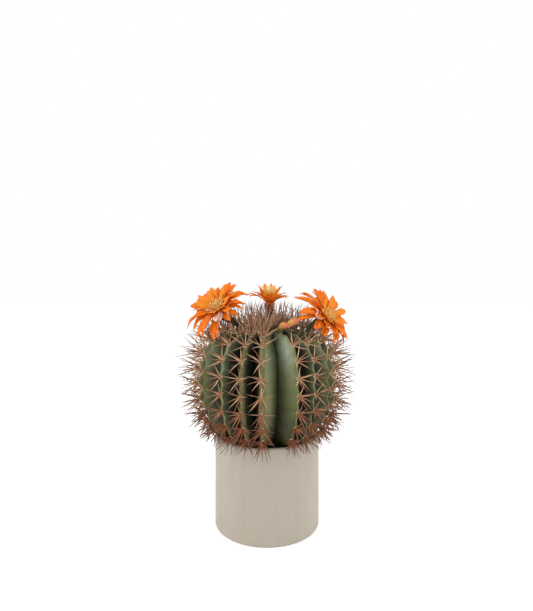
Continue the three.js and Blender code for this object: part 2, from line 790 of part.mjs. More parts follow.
plant.add(meshOf("cactus_globe", makeGlobe(pads, obstacles), "globe"));

export default plant;
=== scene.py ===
"""The looks of a globe cactus in bloom, in its ceramic pot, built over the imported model.

Lengths are in millimetres until a mesh is made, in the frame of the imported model: +Z up, seen in
the photograph from -Y. Azimuths are in degrees from the front round towards +X.
"""

import math

import bpy
import numpy as np
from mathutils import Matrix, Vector
from mathutils.bvhtree import BVHTree


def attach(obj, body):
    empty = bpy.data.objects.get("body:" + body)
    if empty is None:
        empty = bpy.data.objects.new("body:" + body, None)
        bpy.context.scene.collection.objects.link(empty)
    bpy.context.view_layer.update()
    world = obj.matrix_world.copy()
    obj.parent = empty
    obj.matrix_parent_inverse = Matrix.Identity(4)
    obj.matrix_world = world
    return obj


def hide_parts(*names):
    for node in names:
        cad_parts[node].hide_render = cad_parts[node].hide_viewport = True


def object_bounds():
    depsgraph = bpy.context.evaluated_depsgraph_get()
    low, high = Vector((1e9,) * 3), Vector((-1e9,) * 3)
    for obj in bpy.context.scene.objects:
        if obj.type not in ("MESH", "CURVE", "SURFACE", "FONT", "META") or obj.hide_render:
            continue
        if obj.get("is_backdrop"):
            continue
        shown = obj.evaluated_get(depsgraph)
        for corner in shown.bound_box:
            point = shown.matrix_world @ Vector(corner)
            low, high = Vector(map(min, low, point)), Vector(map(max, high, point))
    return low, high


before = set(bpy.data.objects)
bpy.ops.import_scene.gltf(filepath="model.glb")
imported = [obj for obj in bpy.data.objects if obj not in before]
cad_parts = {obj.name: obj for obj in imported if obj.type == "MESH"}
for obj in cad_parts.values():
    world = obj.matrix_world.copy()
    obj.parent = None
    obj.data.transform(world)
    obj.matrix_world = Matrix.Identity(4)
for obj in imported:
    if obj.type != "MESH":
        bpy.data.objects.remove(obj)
cad_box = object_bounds()

MM = 0.001
UP = np.array([0.0, 0.0, 1.0])
TURN = 2 * math.pi
GOLDEN_TURN = 2.39996  # from one scale or filament to the next
CLEARANCE = 0.3

# Seeds of the random draws; each bloom and each bud adds its number to its own
SOIL_SEED = 3
CACTUS_SEED = 11
BLOOM_SEED = 100
BUD_SEED = 200

# The pot and its soil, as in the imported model
POT_RADIUS = 62.5
POT_TOP_RADIUS = 62.0
POT_HEIGHT = 110.0
POT_WALL = 4.6
POT_FLOOR = 7.0
FOOT_ROUND = 2.5
POT_SEGMENTS = 160
SOIL_TOP = 96.0
SOIL_SWELL = 2.2
SOIL_SEGMENTS = 120
GRAIN_COUNT = 1500

# The globe and its ribs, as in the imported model
GLOBE_RADIUS = 81.0
EQUATOR_Z = 168.0
CROWN_RISE = 67.0
SHOULDER_POWER = 3.4
CROWN_DIP = 4.0
DIP_RADIUS = 14.0
COLLAR_RADIUS = 24.0
COLLAR_TOP = 100.0
COLLAR_BOTTOM = 72.0
BASE_ANGLE = math.acos(-(EQUATOR_Z - SOIL_TOP - CLEARANCE) / GLOBE_RADIUS)
SEEN_CRESTS = [-64.5, -38, -20.2, -4.3, 24.5, 40.3, 61]
HIDDEN_RIBS = 11
RIB_DEPTH_SHARE = 0.25
FIRST_AREOLE = 17.5
AREOLE_ROWS = 10
AREOLE_STEP = 16.5
AREOLE_STEP_GROWTH = 1.0
AREOLE_STEP_MOST = 18.5
AREOLE_RADIUS = 2.1
AREOLE_HEIGHT = 1.4
PAD_HEIGHT = 2.2
PAD_RADII = np.array([3.9, 3.5, 2.75, 2.5])
BARE_AREOLES = {(0, 1), (4, 2), (5, 2)}  # rib and row, beside those under a tube or a bud
# For each seen crest, the first and last row whose spines are short towards the front middle
SHORT_SIDES = [(4, 7), (4, 7), (3, 7), (4, 5), (3, 8), (3, 7), (3, 7)]

# The finer flesh: rows down the globe, and columns from a crest (0) to the next valley (1)
FLESH_ROWS = 150
FLANK_STEPS = np.array([0, 0.03, 0.07, 0.13, 0.21, 0.31, 0.42, 0.54, 0.66, 0.77, 0.87, 0.94, 0.98, 1])
CREST_ROUNDING = 0.07  # share of the flank over which the crest is rounded
FLANK_BULGE = 0.3
SCALLOP = 0.15  # how deep a crest lies between two areoles, as a share of the valley
FELTED_RIBS = {2: 0.8, 3: 1.0, 9: 0.8, 13: 0.9}  # ribs whose crest is a broad corky band
# Painted shade: how dark the colour of the valley after each rib is painted, darkest in the narrow deep
# valleys
PAINTED_VALLEY_SHADE = {0: 0.7, 1: 0.95, 2: 1.05, 3: 0.45, 4: 0.95, 5: 0.65}  # how dark the valley after a rib is
PLAIN_PAINTED_VALLEY_SHADE = 0.7
# The painted sheen: a pale highlight painted high on the two broad flanks that face the front
PAINTED_SHEENS = {3: 0.62, 4: 0.36}  # how far down the two broad flanks shine most
NO_PAINTED_SHEEN = -9  # a place so far off the globe that nothing shines

# The spines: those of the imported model, and finer ones between them
SPINE_RADIUS = 0.68
SPINE_SIDES = 5
LEAST_SPINE = 5.5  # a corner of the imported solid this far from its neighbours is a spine's tip
EXTRA_SPINES = [0, 0, 0, 1, 1, 1, 2, 5, 12, 15]  # for each row of areoles
SIDE_SPINES = 5  # how many more there are on ribs not seen from the front
EXTRA_TRIES = 8
YOUNG_AREOLES = [(6.0, 0, 2), (11.5, 1, 2)]  # distance, first rib, step in ribs
YOUNG_SPINES = 2
AREOLE_HAIRS = 26
PAD_HAIRS = 40
CROWN_HAIRS = 900

# The blooms and buds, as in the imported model
TUBE_FOOT_RADIUS = 2.3
TUBE_TOP_RADIUS = 5.0
THROAT_HEIGHT = 7.0
THROAT_FLOOR = 1.6
THROAT_RADIUS = 6.4
THROAT_WALL = 1.2
OUTER_PETALS = {"count": 10, "length": 39, "width": 8.4, "lean": [64, 146], "z": 4.2, "between": 9}
MIDDLE_PETALS = {"count": 10, "length": 31, "width": 10, "lean": [46, 108], "z": 5, "between": 9}
INNER_PETALS = {"count": 8, "length": 25, "width": 9, "lean": [24, 68], "z": 5.8, "between": 5}
SMALL_OUTER_PETALS = {"count": 9, "length": 22, "width": 5.6, "lean": [30, 104], "z": 4.2, "between": 7}
SMALL_INNER_PETALS = {"count": 8, "length": 21, "width": 6.8, "lean": [14, 44], "z": 5.6, "between": 4}
LARGE_LAYERS = [OUTER_PETALS, MIDDLE_PETALS, INNER_PETALS]
SMALL_LAYERS = [SMALL_OUTER_PETALS, SMALL_INNER_PETALS]
# reach and spread are of the stamens; pale is how faded some petals are, by number
BLOOMS = [
    {
        "name": "bloom_left", "seed": 42, "azimuth": -84, "row": 1, "head": [-52.6, -22, 254.4],
        "facing": [-0.38, -0.54, 0.75], "shortest": [0.73, -0.67, -0.15],
        "layers": LARGE_LAYERS, "pale": {26: 0.9, 35: 0.7}, "reach": 15, "spread": 44,
    },
    {
        "name": "bloom_right", "seed": 36, "azimuth": 61, "row": 2, "head": [61.7, -19, 245.4],
        "facing": [0.68, -0.44, 0.58], "shortest": [-0.12, -0.85, -0.52],
        "layers": LARGE_LAYERS, "pale": {25: 0.7}, "reach": 15, "spread": 44,
    },
    {
        "name": "bloom_middle", "seed": 13, "azimuth": 178.3, "row": 1, "head": [3, 25, 260],
        "facing": [0.04, -0.06, 1], "shortest": [0, -1, 0],
        "layers": SMALL_LAYERS, "pale": {}, "reach": 22, "spread": 24,
    },
]
BUDS = [
    {"name": "bud_front", "azimuth": 24.5, "row": 1, "head": [23.5, -45, 240.5], "radius": 3.6},
    {"name": "bud_side", "azimuth": 40.3, "row": 1, "head": [38, -36, 247], "radius": 3.9},
]
BUD_SHARES = [0.6, 0.8, 0.98, 1, 0.86, 0.58, 0.22]

# The finer petals, stamens and scales
PETAL_ROWS = 24
PETAL_COLUMNS = 9
PETAL_THICKNESS = 0.45
PETAL_SHORTENING = 0.5  # on the side of a bloom where its petals are shortest
PLEAT = 0.11  # height of a petal's lengthwise folds, as a share of its half width
FILAMENTS = 90
STIGMA_LOBES = 7
SCALE_ROWS = 5
SCALE_COLUMNS = 5
SCALE_THICKNESS = 0.3
TUBE_SCALES = 74
BUD_SCALES = 46

# Shapes of the smallest parts: shares of their length, each with the share of the radius there
SPINE = [(0, 1), (0.1, 0.9), (0.34, 0.74), (0.6, 0.55), (0.82, 0.33)]
FELT_DOME = [(0, 1.08), (0.4, 1), (0.66, 0.84), (0.85, 0.56), (0.95, 0.32)]
HAIR = [(0, 1)]
LONG_HAIR = [(0, 1), (0.5, 0.8)]
FILAMENT = [(0, 1), (0.25, 0.9), (0.5, 0.8), (0.75, 0.7)]
ANTHER = [(0, 0.5), (0.2, 0.9), (0.5, 1), (0.8, 0.8)]
STYLE = [(0, 1), (0.25, 1), (0.5, 1), (0.75, 1)]
STIGMA = [(0, 1), (0.25, 1.1), (0.5, 1), (0.75, 0.7)]
GRAIN = [(0, 0.6), (0.35, 1), (0.75, 0.7)]

# The studio, in metres
CAMERA_PLACE = (-0.0006, -0.5693, 0.2928)
CAMERA_PITCH = 3.17  # degrees below level
LENS = 28.28
SENSOR_WIDTH = 36
LAMPS = [  # name, place, size, power
    ("key", (-1.25, -0.6, 1.1), 0.7, 11),
    ("fill", (1.2, -0.55, 1.0), 0.8, 8),
    ("back", (0.2, 1.2, 1.0), 0.9, 4),
]
LAMP_TARGET = (0, 0, 0.17)
ROOM_LIGHT = 0.75
FLOOR_GLOW = 0.3
FLOOR_REACH = 6.0
WHITE = (1, 1, 1, 1)


def unit(v):
    """v, or each row of v, at length 1."""
    return v / np.linalg.norm(v, axis=-1, keepdims=True)


def bell(x, width):
    """1 where x is 0, falling softly to nothing on both sides."""
    return np.exp(-((x / width) ** 2))


def circle(angle):
    """Level unit directions, by their angle from +X towards +Y."""
    return np.stack([np.cos(angle), np.sin(angle), 0 * angle], -1)


def around(first, second, angle):
    """Directions turned from first towards second by angles in radians."""
    angle = np.asarray(angle)[..., None]
    return np.cos(angle) * first + np.sin(angle) * second


def turned(v, axis, angle):
    """Rows of v turned about rows of the unit axis, by angles in radians."""
    angle = np.asarray(angle)[..., None]
    along = axis * np.sum(axis * v, axis=-1, keepdims=True)
    return v * np.cos(angle) + np.cross(axis, v) * np.sin(angle) + along * (1 - np.cos(angle))


def columns_of(rows):
    """The columns of a list of rows, each as an array."""
    return [np.array(column) for column in zip(*rows)]


def repeatable_draws(seed):
    """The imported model's own random numbers between -1 and 1, so that the petals agree."""
    state = seed
    while True:
        state = (state * 1664525 + 1013904223) % 4294967296
        yield state / 4294967296 * 2 - 1


def plain_draws(rng):
    """Random numbers between -1 and 1 for the petals that only the finer blooms have."""
    while True:
        yield rng.uniform(-1, 1)


def put(name, data):
    """Makes an object of a mesh, camera or lamp, and adds it to the scene."""
    made = bpy.data.objects.new(name, data)
    bpy.context.scene.collection.objects.link(made)
    return made


class Form:
    """Points, faces and point values that become one mesh."""

    def __init__(self):
        self.points = []
        self.faces = []
        self.values = []
        self.count = 0

    def add(self, points, faces, **values):
        """faces has an array for each number of corners. A value is a number or one per point."""
        points = np.asarray(points, float).reshape(-1, 3)
        self.points.append(points)
        self.faces += [face + self.count for face in faces]
        self.values.append({name: np.broadcast_to(v, len(points)) for name, v in values.items()})
        self.count += len(points)

    def build(self, name, material, slot, *nodes):
        """Makes the mesh object, which stands for these CAD nodes, with the values all parts have."""
        mesh = bpy.data.meshes.new(name)
        faces = [corners for part in self.faces for corners in part.tolist()]
        mesh.from_pydata(np.concatenate(self.points) * MM, [], faces, shade_flat=False)
        for key in sorted(set.intersection(*map(set, self.values))):
            data = mesh.attributes.new(key, "FLOAT", "POINT").data
            data.foreach_set("value", np.concatenate([values[key] for values in self.values]))
        mesh.validate()
        mesh.materials.append(material)
        piece = put(name, mesh)
        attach(piece, "root")
        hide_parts(*nodes)
        return piece


def ring_faces(rings, sides):
    """Quads between closed rings of points, listed ring by ring."""
    low = np.arange(rings - 1)[:, None] * sides
    high = low + sides
    c = np.arange(sides)
    n = (c + 1) % sides
    return np.stack([low + c, low + n, high + n, high + c], -1).reshape(-1, 4)


def tube_faces(rings, sides):
    """Quads between closed rings, and one flat face over each end."""
    ring = np.arange(sides)
    return [ring_faces(rings, sides), ring[::-1][None], ring[None] + (rings - 1) * sides]


def fan_faces(rings, sides):
    """Quads between closed rings, and triangles from the ends to two points after the rings."""
    count = rings * sides
    c = np.arange(sides)
    n = (c + 1) % sides
    first = np.stack([np.full(sides, count), n, c], -1)
    last = np.stack([np.full(sides, count + 1), count - sides + c, count - sides + n], -1)
    return [ring_faces(rings, sides), first, last]


def add_cones(form, start, tip, radius, sides, shape, bow=0.0, **values):
    """Round cones, all at once, with a ring of points for each pair of numbers in the shape.

    start, tip and bow have a row for each cone; bow moves its middle aside. A value is a number
    or one per cone, and the value "along" runs from 0 to 1 along each cone.
    """
    shares, tapers = np.array(shape, float).T
    count = len(start)
    line = tip - start
    steep = np.abs(unit(line)[:, 2:]) > 0.9
    side = unit(np.cross(line, np.where(steep, [1.0, 0, 0], UP)))
    other = unit(np.cross(line, side))
    ring = around(side[:, None], other[:, None], TURN * np.arange(sides) / sides)
    bend = 4 * shares * (1 - shares)
    bow = np.broadcast_to(bow, line.shape)
    centres = start[:, None] + line[:, None] * shares[:, None] + bow[:, None] * bend[:, None]
    wide = np.broadcast_to(radius, count)[:, None] * tapers
    rings = centres[:, :, None] + ring[:, None] * wide[:, :, None, None]
    points = np.concatenate([rings.reshape(count, -1, 3), tip[:, None]], axis=1)
    per_cone = points.shape[1]
    corner = np.arange(sides)
    last = per_cone - 1 - sides
    parts = [
        ring_faces(len(shares), sides),
        np.stack([last + corner, last + (corner + 1) % sides, np.full(sides, per_cone - 1)], -1),
        corner[::-1][None],
    ]
    step = per_cone * np.arange(count)[:, None, None]
    faces = [(part + step).reshape(-1, part.shape[1]) for part in parts]
    along = np.tile(np.append(np.repeat(shares, sides), 1.0), count)
    values = {name: np.repeat(np.broadcast_to(v, count), per_cone) for name, v in values.items()}
    form.add(points, faces, along=along, **values)


def add_lathe(form, profile, segments, **values):
    """A closed solid of revolution; its profile runs from the axis round to the axis again."""
    r, z = np.array(profile).T
    ring = circle(TURN * np.arange(segments) / segments)
    points = (r[1:-1, None, None] * ring + z[1:-1, None, None] * UP).reshape(-1, 3)
    points = np.concatenate([points, [z[0] * UP, z[-1] * UP]])
    form.add(points, fan_faces(len(r) - 2, segments), **values)


def add_blade(form, line, side, above, out, lift, thickness, **values):
    """A thin closed blade along a line. side and above have a row for each station; out and lift
    move the surface along them at each station and column."""
    stations, columns = lift.shape
    u = np.linspace(1, -1, columns)
    middle = line[:, None] + side[:, None] * out[..., None] + above[:, None] * lift[..., None]
    thick = above[:, None] * (0.5 * thickness * np.sqrt(1 - u**4))[:, None]
    points = np.concatenate([middle + thick, (middle - thick)[:, -2:0:-1]], axis=1)
    per_ring = points.shape[1]
    along = np.repeat(np.linspace(0, 1, stations), per_ring)
    across = np.tile(np.concatenate([u, u[-2:0:-1]]), stations)
    upside = np.tile(np.repeat([1.0, 0.0], [columns, columns - 2]), stations)
    faces = tube_faces(stations, per_ring)
    form.add(points, faces, along=along, across=across, upside=upside, **values)


def frames_along(points):
    """Tangents, and two directions across the line that turn with it without a twist."""
    tangent = unit(np.gradient(points, axis=0))
    sides = [unit(np.cross(tangent[0], UP if abs(tangent[0][2]) < 0.9 else [1.0, 0, 0]))]
    for direction in tangent[1:]:
        sides.append(unit(sides[-1] - direction * np.dot(direction, sides[-1])))
    sides = np.array(sides)
    return tangent, sides, np.cross(tangent, sides)


def smooth_line(corners, count):
    """Evenly spaced points of the curve that leaves the first corner towards the second, and
    reaches the last from the one before."""
    t = np.linspace(0, 1, 200)[:, None]
    degree = len(corners) - 1
    shares = [math.comb(degree, k) * t**k * (1 - t) ** (degree - k) for k in range(degree + 1)]
    points = sum(share * corner for share, corner in zip(shares, corners))
    steps = np.linalg.norm(np.diff(points, axis=0), axis=1)
    length = np.append(0, np.cumsum(steps))
    wanted = np.linspace(0, length[-1], count)
    return np.stack([np.interp(wanted, length, column) for column in points.T], -1)


def add_stem(form, line, radii, sides, **values):
    """A round closed stem along a line, with a radius at each of its points."""
    _, side, other = frames_along(line)
    ring = around(side[:, None], other[:, None], TURN * np.arange(sides) / sides)
    along = np.repeat(np.linspace(0, 1, len(line)), sides)
    points = line[:, None] + ring * radii[:, None, None]
    form.add(points, tube_faces(len(line), sides), along=along, place=along, **values)


# The globe's shape


def crest_table():
    """Distance down the crest of a rib from the crown, with its radius and height there."""
    a = np.linspace(0, BASE_ANGLE, 8001)
    across, rise = np.sin(a), np.abs(np.cos(a))
    squared = 2 / SHOULDER_POWER
    is_upper = a < math.pi / 2
    radius = GLOBE_RADIUS * np.where(is_upper, across**squared, across)
    upper = CROWN_RISE * rise**squared - CROWN_DIP * bell(radius, DIP_RADIUS)
    height = EQUATOR_Z + np.where(is_upper, upper, -GLOBE_RADIUS * rise)
    steps = np.hypot(np.diff(radius), np.diff(height))
    return np.append(0, np.cumsum(steps)), radius, height


def rib_azimuths():
    """The crests that the photograph shows, and the hidden ones, spread evenly behind."""
    step = (360 + SEEN_CRESTS[0] - SEEN_CRESTS[-1]) / (HIDDEN_RIBS + 1)
    hidden = [SEEN_CRESTS[-1] + step * (i + 1) for i in range(HIDDEN_RIBS)]
    return np.array(SEEN_CRESTS + hidden)


def areole_distances():
    """Distance of each row of areoles from the crown, in steps that grow down the globe."""
    growth = AREOLE_STEP_GROWTH * np.arange(AREOLE_ROWS - 1)
    steps = np.minimum(AREOLE_STEP_MOST, AREOLE_STEP + growth)
    return np.cumsum(np.append(FIRST_AREOLE, steps))


crest_distance, crest_radius, crest_height = crest_table()
crest_length = crest_distance[-1]
radius_slope = np.gradient(crest_radius, crest_distance)
height_slope = np.gradient(crest_height, crest_distance)
ribs = rib_azimuths()
areoles = areole_distances()


def on_globe(azimuth, distance, depth=0.0):
    """Points on the globe, and their directions outward, down and right. depth is 0 on a crest
    and 1 in a valley."""
    azimuth, distance, depth = np.broadcast_arrays(azimuth, distance, depth)
    distance = np.minimum(distance, crest_length)
    tables = crest_radius, crest_height, radius_slope, height_slope
    r, z, along_r, along_z = (np.interp(distance, crest_distance, t)[..., None] for t in tables)
    right = circle(np.radians(azimuth))
    radial = np.cross(right, UP)
    normal = along_r * UP - along_z * radial
    down = along_r * radial + along_z * UP
    point = r * radial + z * UP - RIB_DEPTH_SHARE * r * depth[..., None] * normal
    return point, normal, down, right


def flank_depth(share):
    """The depth of a flank from crest (0) to valley (1): a rounded crest and a full flank."""
    rounded = np.sqrt(share**2 + CREST_ROUNDING**2) - CREST_ROUNDING
    ridge = rounded / (math.sqrt(1 + CREST_ROUNDING**2) - CREST_ROUNDING)
    bulged = 1 - np.sqrt(np.maximum(0, 1 - share**2.4))
    return (1 - FLANK_BULGE) * ridge + FLANK_BULGE * bulged


def between_areoles(distance):
    """0 at an areole and 1 halfway to the next."""
    stops = np.concatenate([[0], areoles, [crest_length]])
    turns = np.interp(distance, stops, np.arange(len(stops)))
    return 0.5 - 0.5 * np.cos(TURN * turns)


def flesh_columns():
    """Of each column of the flesh: azimuth, share of the way from crest to valley, rib, half the
    gap between its ribs, how dark the painted shade of its valley is and how far down its flank
    the painted sheen lies."""
    columns = []
    for i, crest in enumerate(ribs):
        after = (i + 1) % len(ribs)
        half = (ribs[after] - crest) % 360 / 2
        dark = PAINTED_VALLEY_SHADE.get(i, PLAIN_PAINTED_VALLEY_SHADE)
        shine = [PAINTED_SHEENS[k] if {i, after} == set(PAINTED_SHEENS) else NO_PAINTED_SHEEN for k in (i, after)]
        columns += [(crest + half * t, t, i, half, dark, shine[0]) for t in FLANK_STEPS[:-1]]
        back = FLANK_STEPS[:0:-1]
        columns += [(crest + half * (2 - t), t, after, half, dark, shine[1]) for t in back]
    return columns_of(columns)


def add_flesh(form, rng):
    """The globe's ribbed body as a grid of rows from the woody foot up to the crown."""
    azimuth, share, rib, half, dark, shine = flesh_columns()
    distance = np.linspace(crest_length, 0.6, FLESH_ROWS)[:, None]
    waist = between_areoles(distance)
    flank = np.sin(math.pi * share)
    phase = rng.uniform(0, TURN, (len(ribs), 2))
    sway = np.sin(distance / 13 + phase[rib, 0]) * flank
    sway = sway + 0.6 * np.sin(distance / 6.1 + phase[rib, 1] + 4 * share) * flank
    depth = flank_depth(share) + SCALLOP * waist * bell(share, 0.3)
    depth = depth + 0.05 * waist * bell(share - 0.45, 0.3) + 0.018 * sway
    wander = 0.35 * np.sin(distance / 17 + phase[rib, 1]) * (1 - share)
    point, _, _, _ = on_globe(azimuth + wander, distance, depth)
    r = np.interp(distance, crest_distance, crest_radius)
    felt = np.array([FELTED_RIBS.get(i, 0) for i in range(len(ribs))])
    looks = {  # on the foot, up the globe and at the middle of the crown
        "valley": (0.5, share, 0),
        "gloom": (0.5, dark, 0.5),
        "crest": (9, share * np.radians(half) * r, 0),
        "felt": (0, felt[rib] * np.clip((distance - 42) / 25, 0, 1), 0),
        "down": (1, distance / crest_length, 0),
        "wood": (1, np.clip((distance - crest_length + 14) / 12, 0, 1), 0),
        "sheen": (0, bell(distance / crest_length - shine, 0.16) * flank, 0),
    }
    columns = len(azimuth)
    values = {
        name: np.concatenate(
            [np.full(2 * columns, low), np.broadcast_to(grid, depth.shape).ravel(), [low, high]]
        )
        for name, (low, grid, high) in looks.items()
    }
    radial = np.cross(circle(np.radians(azimuth)), UP)
    foot = [COLLAR_RADIUS * radial + z * UP for z in (COLLAR_BOTTOM, COLLAR_TOP)]
    ends = [COLLAR_BOTTOM * UP, crest_height[0] * UP]
    points = np.concatenate([*foot, point.reshape(-1, 3), ends])
    form.add(points, fan_faces(FLESH_ROWS + 2, columns), **values)


# The areoles and spines


def rib_of(plant):
    """The rib that a bloom or bud stands on."""
    return int(np.argmin(np.abs((ribs - plant["azimuth"] + 180) % 360 - 180)))


def areole_places():
    """Rib, row and place of each areole that carries spines; rows below 0 are the young ones."""
    bare = BARE_AREOLES | {(rib_of(plant), plant["row"]) for plant in BLOOMS + BUDS}
    grown = [(i, k) for i in range(len(ribs)) for k in range(AREOLE_ROWS)]
    places = [(i, k, areoles[k]) for i, k in grown if (i, k) not in bare]
    for row, (distance, first, step) in enumerate(YOUNG_AREOLES, -len(YOUNG_AREOLES)):
        places += [(i, row, distance) for i in range(first, len(ribs), step)]
    rib, row, distance = columns_of(places)
    return rib, row, on_globe(ribs[rib], distance)


def packed_spines():
    """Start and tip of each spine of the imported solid. A tip is a corner of three faces only, far
    from its neighbours."""
    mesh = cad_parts["cactus_globe"].data
    places = np.empty(3 * len(mesh.vertices), np.float32)
    mesh.vertices.foreach_get("co", places)
    corners = np.empty(len(mesh.loops), np.int32)
    mesh.loops.foreach_get("vertex_index", corners)
    rounded = np.round(places.reshape(-1, 3).astype(float) / MM, 3)
    points, index = np.unique(rounded, axis=0, return_inverse=True)
    faces = index.ravel()[corners].reshape(-1, 3)
    total = np.zeros_like(points)
    for k in range(3):
        np.add.at(total, faces[:, k], points[faces[:, k - 1]] + points[faces[:, k - 2]])
    used = np.bincount(faces.ravel(), minlength=len(points))
    middle = total / (2 * used[:, None])
    is_tip = (used == 3) & (np.linalg.norm(points - middle, axis=1) > LEAST_SPINE)
    return middle[is_tip], points[is_tip]


def is_clear(start, tip, trees):
    """True if a spine misses the pot, the blooms and the buds."""
    for share in (0.5, 0.75, 1):
        x, y, z = start + (tip - start) * share
        if z < POT_HEIGHT + 1.5 and math.hypot(x, y) < POT_RADIUS + 1.5:
            return False
    line = Vector(tip - start) * MM
    return not any(tree.ray_cast(Vector(start) * MM, line, line.length)[0] for tree in trees)


def is_short(rib, row, turn):
    """True on the side of the front middle, where the spines of the seen ribs are short."""
    if rib >= len(SHORT_SIDES):
        return False
    first, last = SHORT_SIDES[rib]
    inward = 1 if ribs[rib] < 0 else -1
    return first <= row <= last and inward * math.cos(turn) > -0.1


def spine_between(site, kind, rib, row, rng):
    """A finer spine of an areole: every other kind stands steeply, the others lie low."""
    place, normal, down, right = site
    steep = kind % 2 == 0
    tilt = math.radians(rng.uniform(14, 44) if steep else rng.uniform(58, 78))
    length = rng.uniform(22, 30) if steep else rng.uniform(13, 19)
    turn = rng.uniform(0, TURN)
    if row < 3 or row > 7 or rib < len(SHORT_SIDES):
        length *= 0.85
    if is_short(rib, row, turn):
        length *= 0.55
    out = around(right, down, turn)
    start = place + AREOLE_HEIGHT * 0.6 * normal + 0.4 * out
    return start, start + length * around(normal, out, tilt)


def spines_between(rib, row, places, trees, rng):
    """Starts, tips and areoles of the finer spines, and of the young ones at the crown."""
    found = []
    for i, site in enumerate(zip(*places)):
        count = EXTRA_SPINES[row[i]] if row[i] >= 0 else YOUNG_SPINES
        if rib[i] >= len(SHORT_SIDES) and row[i] > 2:
            count += SIDE_SPINES
        for kind in range(count):
            for _ in range(EXTRA_TRIES):
                start, tip = spine_between(site, kind, rib[i], row[i], rng)
                if is_clear(start, tip, trees):
                    found.append((start, tip, i))
                    break
    return columns_of(found)


def add_spines(form, rib, row, places, trees, rng):
    """All spines: tapered, slightly bent, and older and redder down the globe."""
    start, tip = packed_spines()
    apart = np.linalg.norm(start[:, None] - places[0][None], axis=-1)
    packed = start, tip, np.argmin(apart, axis=1)
    finer = spines_between(rib, row, places, trees, rng)
    fine = np.repeat([0, 1], [len(start), len(finer[0])])
    start, tip, home = (np.concatenate(pair) for pair in zip(packed, finer))
    line = tip - start
    length = np.linalg.norm(line, axis=1)
    start = start - 0.5 * unit(line)
    aside = unit(np.cross(line, rng.normal(size=line.shape)))
    bow = aside * (length * rng.uniform(0.0, 0.06, len(line)))[:, None]
    is_seen = (rib[home] < len(SHORT_SIDES)) & (row[home] > 2)
    thick = np.where(is_seen, 1, 1.2) * (1 - 0.12 * fine)
    radius = SPINE_RADIUS * thick * rng.uniform(0.85, 1.15, len(line))
    values = {
        "age": np.clip((row[home] + 1) / AREOLE_ROWS, 0, 1),
        "tone": rng.uniform(0, 1, len(line)),
        "steep": np.sum(unit(line) * places[1][home], axis=1),
    }
    add_cones(form, start, tip, radius, SPINE_SIDES, SPINE, bow, **values)


def add_felt(form, row, places, rng):
    """A low dome of felt on each areole, with short wool standing out of it."""
    point, normal, down, right = places
    r = np.hypot(point[:, 0], point[:, 1])
    radius = np.where(row < 0, 1.1, np.minimum(AREOLE_RADIUS + 0.3, 0.3 + 0.075 * r))
    foot = point - 0.7 * normal
    top = point + (AREOLE_HEIGHT + 0.1) * normal
    tone = rng.uniform(0, 1, len(point))
    add_cones(form, foot, top, radius, 12, FELT_DOME, wool=0.0, tone=tone)
    home = np.repeat(np.arange(len(point)), AREOLE_HAIRS)
    out = around(right[home], down[home], rng.uniform(0, TURN, len(home)))
    reach = np.sqrt(rng.uniform(0, 1, len(home)))
    start = point[home] + (radius[home] * reach)[:, None] * out
    start += (AREOLE_HEIGHT * 0.6 * (1 - reach**2))[:, None] * normal[home]
    lean = 0.2 + 0.9 * reach
    way = unit(normal[home] + lean[:, None] * out + 0.3 * rng.normal(size=start.shape))
    tip = start + way * rng.uniform(1.2, 2.4, len(home))[:, None]
    add_cones(form, start, tip, 0.16, 3, HAIR, wool=1.0, tone=tone[home])


def add_crown_wool(form, rng):
    """The woolly middle of the crown, where new ribs and areoles form."""
    distance = 13 * np.sqrt(rng.uniform(0, 1, CROWN_HAIRS))
    azimuth = rng.uniform(0, 360, CROWN_HAIRS)
    point, normal, down, _ = on_globe(azimuth, distance, 0.4)
    way = unit(normal + 0.5 * rng.normal(size=point.shape) - 0.3 * down)
    start = point - 0.6 * normal
    tip = start + way * rng.uniform(2.2, 4.2, CROWN_HAIRS)[:, None]
    bow = 0.35 * rng.normal(size=point.shape)
    tone = rng.uniform(0, 1, CROWN_HAIRS)
    add_cones(form, start, tip, 0.2, 3, LONG_HAIR, bow, wool=1.0, tone=tone)


def add_pad(flesh, felt, plant, rng):
    """The mound under a flower tube or bud, flat on top and turned the tube's way. Returns where
    the tube starts, and that way."""
    point, normal, _, _ = on_globe(ribs[rib_of(plant)], areoles[plant["row"]])
    centre = point + PAD_HEIGHT * normal
    way = unit(unit(plant["head"] - point) + normal)
    line = np.array([point - 0.8 * normal, point + 0.5 * normal, centre - 0.3 * way, centre])
    look = {"valley": 0.3, "gloom": 0.5, "crest": 9, "felt": 0, "down": 0.2, "wood": 0, "sheen": 0}
    add_stem(flesh, line, PAD_RADII, 20, **look)
    across = unit(np.cross(way, UP))
    out = around(across, np.cross(way, across), rng.uniform(0, TURN, PAD_HAIRS))
    rise = rng.uniform(0, 1, PAD_HAIRS)[:, None]
    start = point + rise * (centre - point) + out * (3.6 - rise)
    tip = start + unit(0.8 * out + way) * rng.uniform(1.4, 2.8, PAD_HAIRS)[:, None]
    add_cones(felt, start, tip, 0.17, 3, HAIR, wool=1.0, tone=rng.uniform(0, 1, PAD_HAIRS))
    return centre + CLEARANCE * way, way


# The blooms and buds


class Head(Form):
    """A form made in a flower head's own frame, +Z out of the bloom, and stood on the plant."""

    def __init__(self, bloom):
        super().__init__()
        facing = unit(bloom["facing"])
        axis = np.cross(UP, facing)
        self.place = bloom["head"]
        self.axis = unit(axis)
        self.angle = math.atan2(np.linalg.norm(axis), facing[2])
        x, y, _ = turned(np.array(bloom["shortest"]), self.axis, -self.angle)
        self.short_side = math.atan2(y, x)

    def add(self, points, faces, **values):
        super().add(turned(points, self.axis, self.angle) + self.place, faces, **values)

    def petal_stretch(self, azimuth):
        """How much shorter a petal is, by its azimuth in the head's own frame."""
        return 1 - PETAL_SHORTENING * max(0, math.cos(azimuth - self.short_side)) ** 2


def petal_width(t):
    """The width of a petal along its length, widest just past the middle."""
    return np.sin(math.pi * (0.16 + 0.84 * t) ** 1.5) ** 0.8


